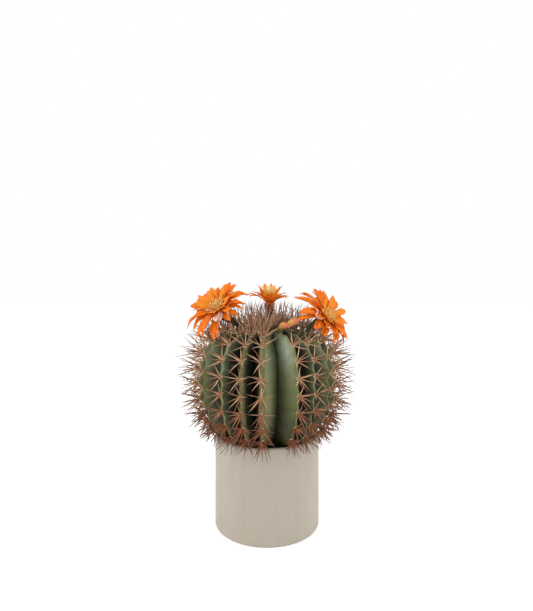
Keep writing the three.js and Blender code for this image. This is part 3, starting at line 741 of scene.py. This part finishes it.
def add_petal(form, layer, azimuth, draw, slim, rng, **values):
    """One petal: a thin arched blade with a folded midrib, a wavy edge and a pointed tip."""
    length = layer["length"] * form.petal_stretch(azimuth) * (1 + 0.12 * next(draw))
    start, end = (math.radians(angle + 9 * next(draw)) for angle in layer["lean"])
    roll = math.radians(16 * next(draw))
    t = np.linspace(0, 1, PETAL_ROWS)
    turn = end - start
    now = start + turn * t
    r = THROAT_RADIUS - THROAT_WALL / 2 + length * (math.cos(start) - np.cos(now)) / turn
    z = layer["z"] + length * (np.sin(now) - math.sin(start)) / turn
    radial = circle(azimuth)
    line = r[:, None] * radial + z[:, None] * UP
    forward = around(UP, radial, now)
    side = turned(np.cross(UP, radial), forward, roll * t)
    above = turned(around(-radial, UP, now), forward, roll * t)
    blunt = rng.uniform(0, 0.7)
    width = petal_width(t * (1 - 0.05 * blunt)) ** (1 - 0.3 * blunt)
    half = np.maximum(slim * layer["width"] / 2 * width, 0.12)[:, None]
    u = np.linspace(1, -1, PETAL_COLUMNS)
    phase = np.where(u > 0, *rng.uniform(0, TURN, 2))
    wave = TURN * rng.uniform(0.8, 1.7) * t[:, None] + phase
    free = np.minimum(1, 2 * t[:, None])
    out = half * u * (1 + 0.12 * free * np.sin(1.9 * wave + 2) + 0.07 * free * np.sin(6.1 * wave))
    lift = 0.24 * half * np.abs(u) ** 1.3 + 0.3 * half * np.abs(u) ** 1.8 * np.sin(wave) * free
    lift = lift + PLEAT * half * np.cos(3 * math.pi * u) * np.sin(math.pi * t[:, None])
    drift = 0.9 * math.sin(phase[0]) * np.sin(math.pi * t) * t
    rise = 0.8 * rng.normal() * t**2 * np.sin(4 * t)
    line = line + side * drift[:, None] + above * rise[:, None]
    add_blade(form, line, side, above, out, lift, PETAL_THICKNESS, **values)


def add_throat(form):
    """The cup that joins the petals, open towards the stamens."""
    rim = THROAT_RADIUS - THROAT_WALL
    outside = np.linspace((TUBE_TOP_RADIUS, 0), (THROAT_RADIUS, THROAT_HEIGHT), 6)
    inside = np.linspace((rim, THROAT_HEIGHT), (rim - 1, THROAT_FLOOR), 6)
    profile = [(0, 0), *outside, *inside, (0, THROAT_FLOOR)]
    add_lathe(form, profile, 40, along=0.0, across=0.0, upside=0.0, pale=0.0, tone=0.5, inner=0.0)


def petals_of(bloom, rng):
    """The petals of a bloom in their layers, outermost first, and the throat that joins them."""
    form = Head(bloom)
    packed, free = repeatable_draws(bloom["seed"]), plain_draws(rng)
    add_throat(form)
    number = 0
    for k, layer in enumerate(bloom["layers"]):
        inner = k / (len(bloom["layers"]) - 1)
        rings = (layer["count"], k % 2, packed, 1), (layer["between"], k % 2 + 1, free, 0.8)
        for count, turn, draw, slim in rings:
            for i in range(count):
                azimuth = (i + 0.5 * turn + 0.18 * next(draw)) / count * TURN
                pale, tone = bloom["pale"].get(number, 0), rng.uniform(0, 1)
                add_petal(form, layer, azimuth, draw, slim, rng, pale=pale, tone=tone, inner=inner)
                number += 1
    return form


def stamens_of(bloom, rng):
    """A brush of bent filaments with anthers, round a style with a split stigma."""
    form = Head(bloom)
    reach = bloom["reach"]
    bottom = THROAT_FLOOR + CLEARANCE
    disc = [(0, bottom), (3.2, bottom), (3.6, bottom + 1.2), (1.9, bottom + 1.7), (0, bottom + 2)]
    add_lathe(form, disc, 24, along=0.0, kind=0.0, tone=0.5)
    number = np.arange(FILAMENTS)
    out = circle(number * GOLDEN_TURN)
    share = np.sqrt((number + 0.5) / FILAMENTS)
    start = out * (3.3 * share)[:, None] + (bottom + 1.8 - share)[:, None] * UP
    lean = np.radians(bloom["spread"] * share + rng.uniform(-4, 4, FILAMENTS))
    way = around(UP, out, lean)
    tip = start + way * (reach * rng.uniform(0.72, 1.06, FILAMENTS))[:, None]
    bow = out * (-0.09 * reach * share)[:, None] + 0.25 * rng.normal(size=start.shape)
    tone = rng.uniform(0, 1, FILAMENTS)
    add_cones(form, start, tip, 0.24, 5, FILAMENT, bow, kind=0.2, tone=tone)
    lying = 0.7 * unit(way + 0.7 * rng.normal(size=way.shape))
    add_cones(form, tip - lying, tip + lying, 0.46, 6, ANTHER, kind=1.0, tone=tone)
    foot, top = (np.array([height * UP]) for height in (bottom + 1, bottom + reach * 0.8))
    add_cones(form, foot, top, 0.55, 8, STYLE, kind=0.6, tone=0.5)
    split = circle(TURN * np.arange(STIGMA_LOBES) / STIGMA_LOBES) + 0.9 * UP
    base = np.repeat(top - 0.6 * UP, STIGMA_LOBES, axis=0)
    add_cones(form, base, top + 2.6 * unit(split), 0.32, 5, STIGMA, kind=0.6, tone=0.8)
    return form


def add_scale(form, foot, out, ahead, length, width, lean, **values):
    """A pointed scale that leaves its foot along the stem and leans outward, from the first to
    the second angle of lean."""
    t = np.linspace(0, 1, SCALE_ROWS)
    first, last = lean
    ways = around(ahead, out, np.radians(first + (last - first) * t))
    steps = ways[:-1] * (length / (SCALE_ROWS - 1))
    line = foot + np.concatenate([np.zeros((1, 3)), np.cumsum(steps, axis=0)])
    side = unit(np.cross(out, ahead)) * np.ones_like(line)
    above = -np.cross(side, ways)
    half = np.maximum(width / 2 * np.sqrt(1 - t) * (0.85 + 0.6 * t), 0.08)[:, None]
    u = np.linspace(1, -1, SCALE_COLUMNS)
    add_blade(form, line, side, above, half * u, -0.45 * half * u**2, SCALE_THICKNESS, **values)


def scaly_stem(line, radii, sides, count, span, sink, scale_at, rng):
    """A stem wrapped in scales along a span of its length, their feet sunk in it. scale_at gives
    the twist, length, width and lean of a scale by its share of the way along."""
    form = Form()
    add_stem(form, line, radii, sides, across=0.0, upside=0.0, tone=0.5)
    tangent, side, other = frames_along(line)
    for k in range(count):
        share = span[0] + span[1] * (k + 0.5) / count
        at = round(share * (len(line) - 1))
        twist, length, width, lean = scale_at(share)
        out = around(side[at], other[at], k * GOLDEN_TURN + twist)
        foot = line[at] + out * (radii[at] - sink)
        look = {"place": share, "tone": rng.uniform(0, 1)}
        add_scale(form, foot, out, tangent[at], length, width, lean, **look)
    return form


def tube_of(bloom, start, way, rng):
    """The curved flower tube with its overlapping pointed scales."""
    facing = unit(bloom["facing"])
    end = bloom["head"] - CLEARANCE * facing
    reach = np.linalg.norm(end - start) / 3
    line = smooth_line([start, start + reach * way, end - reach * facing, end], 33)
    t = np.linspace(0, 1, len(line))
    radii = TUBE_FOOT_RADIUS + (TUBE_TOP_RADIUS - TUBE_FOOT_RADIUS) * t**0.8

    def scale_at(share):
        twist = rng.uniform(-0.15, 0.15)
        length = (3.4 + 3.4 * share) * rng.uniform(0.9, 1.15)
        width = (2.2 + 1.6 * share) * rng.uniform(0.9, 1.1)
        return twist, length, width, (14, 34 + 10 * rng.uniform(-1, 1))

    return scaly_stem(line, radii, 24, TUBE_SCALES, (0.06, 0.9), 0.25, scale_at, rng)


def bud_of(bud, start, way, rng):
    """A closed bud: a swollen stem wrapped in pointed scales that close over its tip."""
    end = np.array(bud["head"])
    bend = start + way * np.linalg.norm(end - start) / 2
    line = smooth_line([start, bend, end], 25)
    t = np.linspace(0, 1, len(line))
    radii = bud["radius"] * np.interp(t, np.linspace(0, 1, len(BUD_SHARES)), BUD_SHARES) * 0.93

    def scale_at(share):
        closing = 8 - 34 * max(0, share - 0.35)
        length = rng.uniform(3.2, 4.2) * (1 - 0.25 * share)
        width = bud["radius"] * 0.85 * (1 - 0.3 * share)
        return 0, length, width, (closing + 2, closing + 10)

    return scaly_stem(line, radii, 18, BUD_SCALES, (0.04, 0.86), 0.2, scale_at, rng)


# The pot and the soil


def arc(centre_r, centre_z, radius, start, end, steps):
    """Points (radius, height) along part of a circle, with angles in degrees."""
    angles = np.radians(np.linspace(start, end, steps + 1))
    return [(centre_r + radius * math.cos(a), centre_z + radius * math.sin(a)) for a in angles]


def pot_form():
    """A plain cylinder with a rounded foot and lip."""
    lip = POT_WALL / 2
    wall = np.linspace(FOOT_ROUND, POT_HEIGHT - lip, 14)[1:-1]
    lean = (POT_RADIUS - POT_TOP_RADIUS) / (POT_HEIGHT - lip - FOOT_ROUND)
    profile = [
        (0, 0),
        (POT_RADIUS - FOOT_ROUND - 6, 0),
        *arc(POT_RADIUS - FOOT_ROUND, FOOT_ROUND, FOOT_ROUND, -90, 0, 8),
        *[(POT_RADIUS - lean * (z - FOOT_ROUND), z) for z in wall],
        *arc(POT_TOP_RADIUS - lip, POT_HEIGHT - lip, lip, 0, 180, 14),
        (POT_TOP_RADIUS - POT_WALL, SOIL_TOP - 10),
        *arc(POT_RADIUS - POT_WALL - FOOT_ROUND, POT_FLOOR + FOOT_ROUND, FOOT_ROUND, 0, -90, 5),
        (0, POT_FLOOR),
    ]
    form = Form()
    add_lathe(form, profile, POT_SEGMENTS, tone=0.5)
    return form


def soil_swell(angle, r):
    """How far the surface of the soil swells up or down at a place."""
    return SOIL_SWELL * (0.5 * np.sin(3 * angle + r) + 0.5 * np.sin(7 * angle))


def soil_form(rng):
    """The soil with its swelling surface, and loose grains lying in it."""
    wall = POT_TOP_RADIUS - POT_WALL - CLEARANCE
    bottom = POT_FLOOR + CLEARANCE
    collar = COLLAR_RADIUS + CLEARANCE
    hole = COLLAR_BOTTOM - CLEARANCE
    foot = [(0, bottom), (wall - FOOT_ROUND, bottom), (wall, bottom + FOOT_ROUND)]
    surface = [(r, SOIL_TOP) for r in np.linspace(wall, collar, 26)]
    form = Form()
    add_lathe(form, [*foot, *surface, (collar, hole), (0, hole)], SOIL_SEGMENTS, tone=0.3)
    points = form.points[-1]
    x, y, z = points.T
    r, a = np.hypot(x, y), np.arctan2(y, x)
    reach = np.clip((r - (wall + GLOBE_RADIUS / 2) / 2 + 1) / 4, 0, 1)
    rough = 0.35 * np.sin(1.9 * r + 5 * a) * np.sin(2.3 * r - 11 * a)
    on_top = z > SOIL_TOP - 1
    points[on_top, 2] += (soil_swell(a, r) * reach + rough * (reach - 1))[on_top]
    spread = rng.uniform(43.5, wall - 1.2, GRAIN_COUNT)
    turn = rng.uniform(0, TURN, GRAIN_COUNT)
    size = rng.uniform(0.4, 1.3, GRAIN_COUNT)
    height = SOIL_TOP + soil_swell(turn, spread) - 0.3 * size
    start = spread[:, None] * circle(turn) + height[:, None] * UP
    way = unit(rng.normal(size=start.shape) + 0.4 * UP)
    tone = rng.uniform(0, 1, GRAIN_COUNT)
    add_cones(form, start, start + way * size[:, None], size * 0.5, 6, GRAIN, tone=tone)
    return form


# Materials


def srgb(*steps):
    """A colour given in the usual 0 to 255 steps, as the shaders take it."""
    parts = [step / 255 for step in steps]
    return (*[c / 12.92 if c <= 0.04045 else ((c + 0.055) / 1.055) ** 2.4 for c in parts], 1.0)


class Paint:
    """One material: a Principled shader, short ways to feed it from patterns, and its colour so
    far, over which the next ones are laid."""

    def __init__(self, name, **sockets):
        self.material = bpy.data.materials.new(name)
        self.material.use_nodes = True
        self.nodes = self.material.node_tree.nodes
        self.links = self.material.node_tree.links
        self.place = self.node("TexCoord").outputs["Object"]
        self.shader = self.nodes["Principled BSDF"]
        self.colour = None
        self.feed(self.shader, {name.replace("_", " "): value for name, value in sockets.items()})

    def feed(self, node, inputs):
        """Sets the inputs of a node to values, or links them to sockets."""
        for name, value in inputs.items():
            if isinstance(value, bpy.types.NodeSocket):
                self.links.new(value, node.inputs[name])
            else:
                node.inputs[name].default_value = value

    def node(self, kind, inputs=None, **settings):
        made = self.nodes.new("ShaderNode" + kind)
        for name, value in settings.items():
            setattr(made, name, value)
        self.feed(made, inputs or {})
        return made

    def values(self, *names):
        """Sockets of these point values."""
        return [self.node("Attribute", attribute_name=name).outputs["Fac"] for name in names]

    def math(self, operation, a, b=0.0, c=0.0):
        return self.node("Math", {0: a, 1: b, 2: c}, operation=operation).outputs[0]

    def times(self, a, b):
        return self.math("MULTIPLY", a, b)

    def plus(self, a, b):
        return self.math("ADD", a, b)

    def mix(self, factor, a, b, blend="MIX"):
        inputs = {0: factor, 6: a, 7: b}
        return self.node("Mix", inputs, data_type="RGBA", blend_type=blend).outputs[2]

    def smooth(self, value, low, high, least=0.0, most=1.0):
        """A soft step of value between low and high."""
        inputs = {0: value, 1: low, 2: high, 3: least, 4: most}
        return self.node("MapRange", inputs, interpolation_type="SMOOTHSTEP").outputs[0]

    def stretched(self, x, y, z):
        return self.node("Mapping", {"Vector": self.place, "Scale": (x, y, z)}).outputs[0]

    def joined(self, x, y, z):
        return self.node("CombineXYZ", {0: x, 1: y, 2: z}).outputs[0]

    def noise(self, scale, detail=3.0, rough=0.5, at=None):
        inputs = {"Vector": at or self.place, "Scale": scale, "Detail": detail, "Roughness": rough}
        return self.node("TexNoise", inputs).outputs[0]

    def ramp(self, value, *stops):
        """Colours along a value; a stop is its place and three steps of colour."""
        made = self.node("ValToRGB", {0: value})
        elements = made.color_ramp.elements
        while len(elements) < len(stops):
            elements.new(0.5)
        for element, (place, *colour) in zip(elements, stops):
            element.position = place
            element.color = srgb(*colour)
        return made.outputs[0]

    def lay(self, factor, colour):
        """Lays a colour over what is there, by a factor."""
        self.colour = self.mix(factor, self.colour, colour)

    def over(self, steps, value, low, high, most=1.0):
        """Lays a colour, in 0 to 255 steps, over what is there where value is past a soft step."""
        self.lay(self.smooth(value, low, high, 0.0, most), srgb(*steps))

    def finish(self, roughness=0.5, *bumps):
        """Feeds the shader. A bump is a height and how many metres it is."""
        inputs = {"Base Color": self.colour, "Roughness": roughness}
        normal = {}
        for height, distance in bumps:
            bump = {"Height": height, "Distance": distance, "Strength": 1.0, **normal}
            normal = {"Normal": self.node("Bump", bump).outputs[0]}
        self.feed(self.shader, {**inputs, **normal})
        return self.material


def ceramic():
    """Matt warm grey glaze: broad soft tones, upright streaks, fine specks, a darker foot."""
    paint = Paint("pot_ceramic", Specular_IOR_Level=0.5)
    paint.colour = paint.ramp(paint.noise(16, 2), (0.3, 164, 155, 140), (0.7, 168, 159, 145))
    upright = paint.noise(1, 3, 0.6, paint.stretched(75, 75, 5))
    paint.over((157, 146, 130), upright, 0.4, 0.7, 0.3)
    paint.over((150, 134, 112), paint.noise(1500, 2, 0.6), 0.66, 0.74, 0.35)
    height = paint.node("SeparateXYZ", {0: paint.place}).outputs[2]
    paint.over((124, 114, 100), height, 0.002, 0.0008, 0.7)
    rough = paint.smooth(paint.noise(90, 3), 0.3, 0.7, 0.46, 0.6)
    return paint.finish(rough, (paint.noise(1100, 3, 0.6), 0.00006), (paint.noise(70, 2), 0.0005))


def earth():
    """Dark potting mix with paler grains and a few of white perlite."""
    paint = Paint("potting_soil", Specular_IOR_Level=0.2)
    (tone,) = paint.values("tone")
    dark = (0, 38, 28, 20), (0.45, 64, 47, 33)
    pale = (0.8, 104, 80, 56), (0.93, 120, 96, 70), (0.96, 205, 198, 184)
    grains = paint.ramp(tone, *dark, *pale)
    damp = paint.mix(paint.noise(700, 4, 0.7), grains, srgb(22, 16, 12), "MULTIPLY")
    paint.colour = paint.mix(0.5, grains, damp)
    rough = paint.smooth(paint.noise(300, 2), 0.3, 0.7, 0.85, 1.0)
    return paint.finish(rough, (paint.noise(900, 4, 0.7), 0.0008))


def flesh_skin():
    """Waxy green skin: grey-green flanks with a painted sheen, painted shade in the valleys, pale or
    corky crests, a woody foot.
    """
    glow = {"Subsurface_Weight": 0.08, "Subsurface_Scale": 0.003}
    spread = (0.4, 0.7, 0.25)
    paint = Paint("cactus_skin", Specular_IOR_Level=0.28, Subsurface_Radius=spread, **glow)
    valley, crest, down, felt = paint.values("valley", "crest", "down", "felt")
    wood, sheen, gloom = paint.values("wood", "sheen", "gloom")
    broad, fine, corky = paint.noise(38, 3), paint.noise(420, 4, 0.6), paint.noise(520, 5, 0.7)
    # The skin is lightest high on the globe and darkens towards its foot: partly its own colour, partly
    # painted shade where less light falls
    waxy = (0.12, 96, 100, 58), (0.36, 120, 130, 92), (0.55, 100, 107, 63), (0.85, 74, 75, 36)
    green = (0.12, 80, 84, 44), (0.36, 98, 108, 66), (0.55, 88, 95, 51), (0.85, 60, 61, 28)
    paint.colour = paint.ramp(down, *green)
    paint.lay(paint.smooth(broad, 0.38, 0.62), paint.ramp(down, *waxy))
    # Painted sheen: a pale blue-grey highlight painted on the two broad front flanks, down to where
    # each is set
    anther_powder_and_painted_sheen = paint.ramp(down, (0.36, 194, 209, 180), (0.52, 142, 143, 102))
    paint.lay(paint.times(sheen, paint.smooth(broad, 0.2, 0.6, 0.35, 0.8)), anther_powder_and_painted_sheen)
    lines = paint.noise(1, 3, 0.6, paint.stretched(420, 420, 60))
    paint.over((56, 64, 38), lines, 0.4, 0.8, 0.28)
    specks = paint.node("TexVoronoi", {"Vector": paint.place, "Scale": 900}).outputs[0]
    paint.over((170, 176, 146), specks, 0.16, 0.05, 0.25)
    # Painted shade: the skin darkens towards the bottom of each valley, more strongly where a valley is
    # narrow and deep
    begins = paint.math("MULTIPLY_ADD", gloom, -0.7, 0.4)
    ends = paint.math("MULTIPLY_ADD", gloom, -0.35, 0.95)
    strength = paint.math("MULTIPLY_ADD", gloom, 0.6, 0.4)
    paint.lay(paint.times(paint.smooth(valley, begins, ends), strength), srgb(20, 22, 12))
    paint.over((152, 148, 104), paint.plus(crest, paint.times(fine, 1.1)), 1.75, 1.0, 0.5)
    band = paint.times(paint.smooth(paint.plus(crest, paint.times(fine, 3.0)), 5.2, 3.6), felt)
    paint.lay(band, paint.ramp(corky, (0.3, 78, 78, 44), (0.5, 114, 106, 68), (0.7, 146, 134, 94)))
    paint.lay(wood, paint.ramp(fine, (0.3, 62, 48, 30), (0.7, 116, 94, 62)))
    rough = paint.smooth(paint.noise(60, 3), 0.3, 0.7, 0.42, 0.58)
    rough = paint.plus(rough, paint.times(band, 0.35))
    cork_height = paint.times(corky, paint.math("MAXIMUM", band, wood))
    return paint.finish(rough, (cork_height, 0.0012), (fine, 0.00012), (paint.noise(110, 2), 0.0008))


def spine_horn():
    """Horny spines: pale tan when they spread, browner when steep, red-brown down the globe, and
    darker towards the tip."""
    paint = Paint("spine_horn", Specular_IOR_Level=0.5)
    along, age, tone, steep = paint.values("along", "age", "tone", "steep")
    # The young spines start dark at their foot: partly their woolly brown, partly painted shade among
    # the dense crown spines
    young = paint.ramp(along, (0, 98, 68, 48), (0.4, 192, 149, 115), (1, 88, 56, 43))
    spread = paint.ramp(along, (0, 230, 202, 160), (0.6, 216, 178, 136), (1, 140, 98, 70))
    brown = paint.ramp(along, (0, 204, 158, 114), (0.35, 152, 102, 70), (1, 62, 37, 28))
    old = paint.ramp(along, (0, 182, 116, 70), (0.45, 128, 74, 44), (1, 52, 31, 23))
    paint.colour = young
    paint.lay(paint.smooth(age, 0.2, 0.45), paint.mix(paint.smooth(steep, 0.5, 0.85), spread, brown))
    paint.lay(paint.smooth(age, 0.6, 0.95), old)
    paint.lay(paint.times(tone, 0.3), srgb(156, 108, 74))
    paint.over((92, 61, 42), tone, 0.6, 1.0, 0.5)
    rings = paint.noise(1, 2, 0.5, paint.joined(paint.times(along, 40), tone, age))
    paint.over((114, 71, 45), rings, 0.5, 0.8, 0.3)
    return paint.finish(paint.smooth(rings, 0.3, 0.7, 0.38, 0.56), (rings, 0.00008))


def areole_felt():
    """Pale tan felt, browner deep down, with lighter wool."""
    paint = Paint("areole_felt", Specular_IOR_Level=0.15, Sheen_Weight=0.3)
    wool, tone = paint.values("wool", "tone")
    fine = paint.noise(1800, 4, 0.7)
    paint.colour = paint.ramp(fine, (0.3, 166, 132, 96), (0.7, 222, 194, 156))
    paint.lay(wool, paint.ramp(tone, (0, 190, 160, 124), (1, 228, 208, 174)))
    return paint.finish(paint.smooth(fine, 0.3, 0.7, 0.8, 0.95), (fine, 0.0006))


def petal_silk():
    """Silky orange petals: golden at the foot, red on the back, painted shade in the folds, some faded.
    """
    glow = {"Subsurface_Weight": 0.12, "Subsurface_Scale": 0.0015}
    spread = (1.0, 0.45, 0.12)
    paint = Paint("petal_silk", Specular_IOR_Level=0.1, Subsurface_Radius=spread, **glow)
    along, across, upside = paint.values("along", "across", "upside")
    tone, pale, inner = paint.values("tone", "pale", "inner")
    lengthwise = paint.joined(paint.times(across, 7), paint.times(along, 1.6), paint.times(tone, 30))
    veins = paint.noise(1, 4, 0.6, lengthwise)
    front = (0, 242, 188, 80), (0.25, 240, 148, 34), (0.6, 236, 118, 10), (1, 230, 104, 8)
    back = (0, 210, 74, 20), (0.3, 228, 100, 14), (0.75, 238, 126, 18), (1, 232, 108, 12)
    paint.colour = paint.ramp(along, *back)
    paint.lay(upside, paint.ramp(along, *front))
    # The veins darken and lighten the petal in lengthwise streaks: partly its own veining, partly
    # painted shade and painted highlight
    paint.over((216, 84, 12), veins, 0.5, 0.66, 0.5)
    paint.over((248, 178, 72), veins, 0.47, 0.32, 0.7)
    # Painted shade in the folds, and a lighter middle that is partly the petal's own golden midrib,
    # partly a painted highlight on its ridge
    folds = paint.math("COSINE", paint.times(across, 3 * math.pi))
    paint.over((212, 82, 16), folds, 0.1, -0.9, 0.3)
    paint.over((250, 176, 76), paint.math("ABSOLUTE", across), 0.2, 0.0, 0.3)
    paint.over((226, 104, 34), tone, 0.7, 1.0, 0.35)
    paint.over((244, 172, 66), inner, 0.4, 1.0, 0.3)
    blotch = paint.plus(along, paint.times(veins, 0.5))
    paint.lay(paint.times(paint.smooth(blotch, 0.5, 0.9), pale), srgb(238, 214, 200))
    return paint.finish(paint.smooth(veins, 0.3, 0.7, 0.42, 0.6), (veins, 0.00025))


def tube_skin():
    """Dark olive tube and scales, red-brown towards their tips and orange-red at the throat."""
    paint = Paint("tube_skin", Specular_IOR_Level=0.35)
    along, across, place, tone = paint.values("along", "across", "place", "tone")
    fine = paint.noise(600, 3, 0.6)
    paint.colour = paint.ramp(along, (0, 46, 54, 26), (0.6, 66, 68, 34), (1, 104, 62, 36))
    high = paint.ramp(along, (0, 120, 66, 36), (0.5, 176, 70, 34), (1, 214, 90, 34))
    paint.lay(paint.smooth(place, 0.55, 0.98), high)
    paint.lay(paint.times(tone, 0.35), srgb(74, 58, 32))
    paint.over((44, 44, 24), fine, 0.45, 0.75, 0.4)
    ribbed = paint.noise(1, 2, 0.5, paint.joined(paint.times(across, 6), along, tone))
    return paint.finish(paint.smooth(fine, 0.3, 0.7, 0.5, 0.7), (fine, 0.0003), (ribbed, 0.0003))


def stamen_gold():
    """Golden filaments and powdery anthers, with a paler style."""
    glow = {"Subsurface_Weight": 0.1, "Subsurface_Scale": 0.001}
    paint = Paint("stamen_gold", Specular_IOR_Level=0.3, **glow)
    kind, along, tone = paint.values("kind", "along", "tone")
    anther_powder_and_painted_sheen = paint.noise(2600, 3, 0.7)
    paint.colour = paint.ramp(along, (0, 236, 170, 70), (1, 250, 220, 132))
    style = paint.ramp(tone, (0, 224, 208, 120), (1, 240, 232, 168))
    paint.lay(paint.smooth(kind, 0.3, 0.5), style)
    anther = paint.ramp(anther_powder_and_painted_sheen, (0.3, 236, 190, 88), (0.7, 252, 234, 166))
    paint.lay(paint.smooth(kind, 0.7, 0.9), anther)
    return paint.finish(paint.smooth(anther_powder_and_painted_sheen, 0.3, 0.7, 0.6, 0.9), (anther_powder_and_painted_sheen, 0.0002))


def bud_skin():
    """Bud scales: green at the foot, yellow in the middle, pink-red at the tip."""
    glow = {"Subsurface_Weight": 0.1, "Subsurface_Scale": 0.001}
    paint = Paint("bud_skin", Specular_IOR_Level=0.35, **glow)
    place, along, across, tone = paint.values("place", "along", "across", "tone")
    fine = paint.noise(700, 3, 0.6)
    foot = (0.05, 124, 134, 58), (0.3, 200, 176, 80)
    tip = (0.55, 246, 188, 100), (0.75, 250, 152, 112), (1, 248, 118, 110)
    paint.colour = paint.ramp(paint.plus(place, paint.times(along, 0.18)), *foot, *tip)
    paint.over((206, 104, 80), along, 0.72, 1.0, 0.4)
    paint.over((150, 110, 60), fine, 0.45, 0.8, 0.2)
    paint.over((190, 140, 76), paint.math("ABSOLUTE", across), 0.3, 0.0, 0.25)
    rough = paint.smooth(paint.plus(fine, paint.times(tone, 0.1)), 0.3, 0.7, 0.45, 0.62)
    return paint.finish(rough, (fine, 0.0003))


def floor_white():
    """A white floor that glows a little, so that it stays white far from the lamps."""
    glow = {"Emission_Color": WHITE, "Emission_Strength": FLOOR_GLOW}
    paint = Paint("floor_white", Specular_IOR_Level=0.1, **glow)
    paint.colour = paint.ramp(paint.noise(6, 2), (0, 250, 250, 250), (1, 254, 254, 254))
    return paint.finish()


# The scene


def add_camera():
    """The photograph's view, worked out from the pot's and the globe's outlines."""
    data = bpy.data.cameras.new("camera")
    data.lens = LENS
    data.sensor_width = SENSOR_WIDTH
    camera = put("camera", data)
    camera.location = CAMERA_PLACE
    camera.rotation_euler = (math.radians(90 - CAMERA_PITCH), 0, 0)
    bpy.context.scene.camera = camera


def add_lamps():
    """Two soft round lamps in front and one behind, all turned to the middle of the plant."""
    for name, place, size, power in LAMPS:
        data = bpy.data.lights.new(name, "AREA")
        data.shape = "DISK"
        data.size = size
        data.energy = power
        lamp = put(name, data)
        lamp.location = place
        towards = Vector(LAMP_TARGET) - Vector(place)
        lamp.rotation_euler = towards.to_track_quat("-Z", "Y").to_euler()


def add_room():
    """A white room that the camera sees brighter than it lights."""
    world = bpy.data.worlds.new("studio")
    bpy.context.scene.world = world
    world.use_nodes = True
    nodes, links = world.node_tree.nodes, world.node_tree.links
    room, seen = nodes["Background"], nodes.new("ShaderNodeBackground")
    for light in (room, seen):
        light.inputs["Color"].default_value = WHITE
    room.inputs["Strength"].default_value = ROOM_LIGHT
    chosen = nodes.new("ShaderNodeMixShader")
    links.new(nodes.new("ShaderNodeLightPath").outputs["Is Camera Ray"], chosen.inputs[0])
    links.new(room.outputs[0], chosen.inputs[1])
    links.new(seen.outputs[0], chosen.inputs[2])
    links.new(chosen.outputs[0], nodes["World Output"].inputs["Surface"])
    bpy.context.scene.view_settings.view_transform = "Standard"


def add_floor():
    """A wide plain floor just under the pot's foot."""
    mesh = bpy.data.meshes.new("floor")
    corners = [(x * FLOOR_REACH, y * FLOOR_REACH, 0) for x, y in ((-1, -1), (1, -1), (1, 1), (-1, 1))]
    mesh.from_pydata(corners, [], [(0, 1, 2, 3)])
    mesh.materials.append(floor_white())
    floor = put("floor", mesh)
    floor.location.z = -0.0002
    floor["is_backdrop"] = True


def add_pot():
    """The pot and its soil."""
    pot_form().build("pot_ceramic", ceramic(), "pot", "pot")
    soil_form(np.random.default_rng(SOIL_SEED)).build("potting_soil", earth(), "soil", "soil")


def add_blooms(flesh, felt):
    """The blooms and buds, with their pads; returns search trees of their surfaces."""
    silk, tube, gold, bud_green = petal_silk(), tube_skin(), stamen_gold(), bud_skin()
    made = []
    for number, bloom in enumerate(BLOOMS):
        rng = np.random.default_rng(BLOOM_SEED + number)
        node = bloom["name"]
        side = node.removeprefix("bloom_")
        foot = add_pad(flesh, felt, bloom, rng)
        made.append(petals_of(bloom, rng).build(side + "_petals", silk, "petals", node + "_petals"))
        stamens_of(bloom, rng).build(side + "_stamens", gold, "stamens", node + "_stamens")
        made.append(tube_of(bloom, *foot, rng).build(side + "_tube", tube, "tube", node + "_tube"))
    for number, bud in enumerate(BUDS):
        rng = np.random.default_rng(BUD_SEED + number)
        side = bud["name"].removeprefix("bud_")
        foot = add_pad(flesh, felt, bud, rng)
        made.append(bud_of(bud, *foot, rng).build(side + "_bud", bud_green, "bud", bud["name"]))
    bpy.context.view_layer.update()
    graph = bpy.context.evaluated_depsgraph_get()
    return [BVHTree.FromObject(piece, graph) for piece in made]


def add_cactus():
    """The blooms and buds, then the globe with its spines, which keep clear of them, and its wool."""
    rng = np.random.default_rng(CACTUS_SEED)
    flesh, felt, spines = Form(), Form(), Form()
    trees = add_blooms(flesh, felt)
    add_flesh(flesh, rng)
    flesh.build("cactus_flesh", flesh_skin(), "cactus", "cactus_globe")
    rib, row, places = areole_places()
    add_spines(spines, rib, row, places, trees, rng)
    spines.build("cactus_spines", spine_horn(), "cactus", "cactus_globe")
    add_felt(felt, row, places, rng)
    add_crown_wool(felt, rng)
    felt.build("areole_wool", areole_felt(), "cactus", "cactus_globe")


add_camera()
add_lamps()
add_room()
add_floor()
add_pot()
add_cactus()

[[list(corner) for corner in box] for box in (cad_box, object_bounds())]
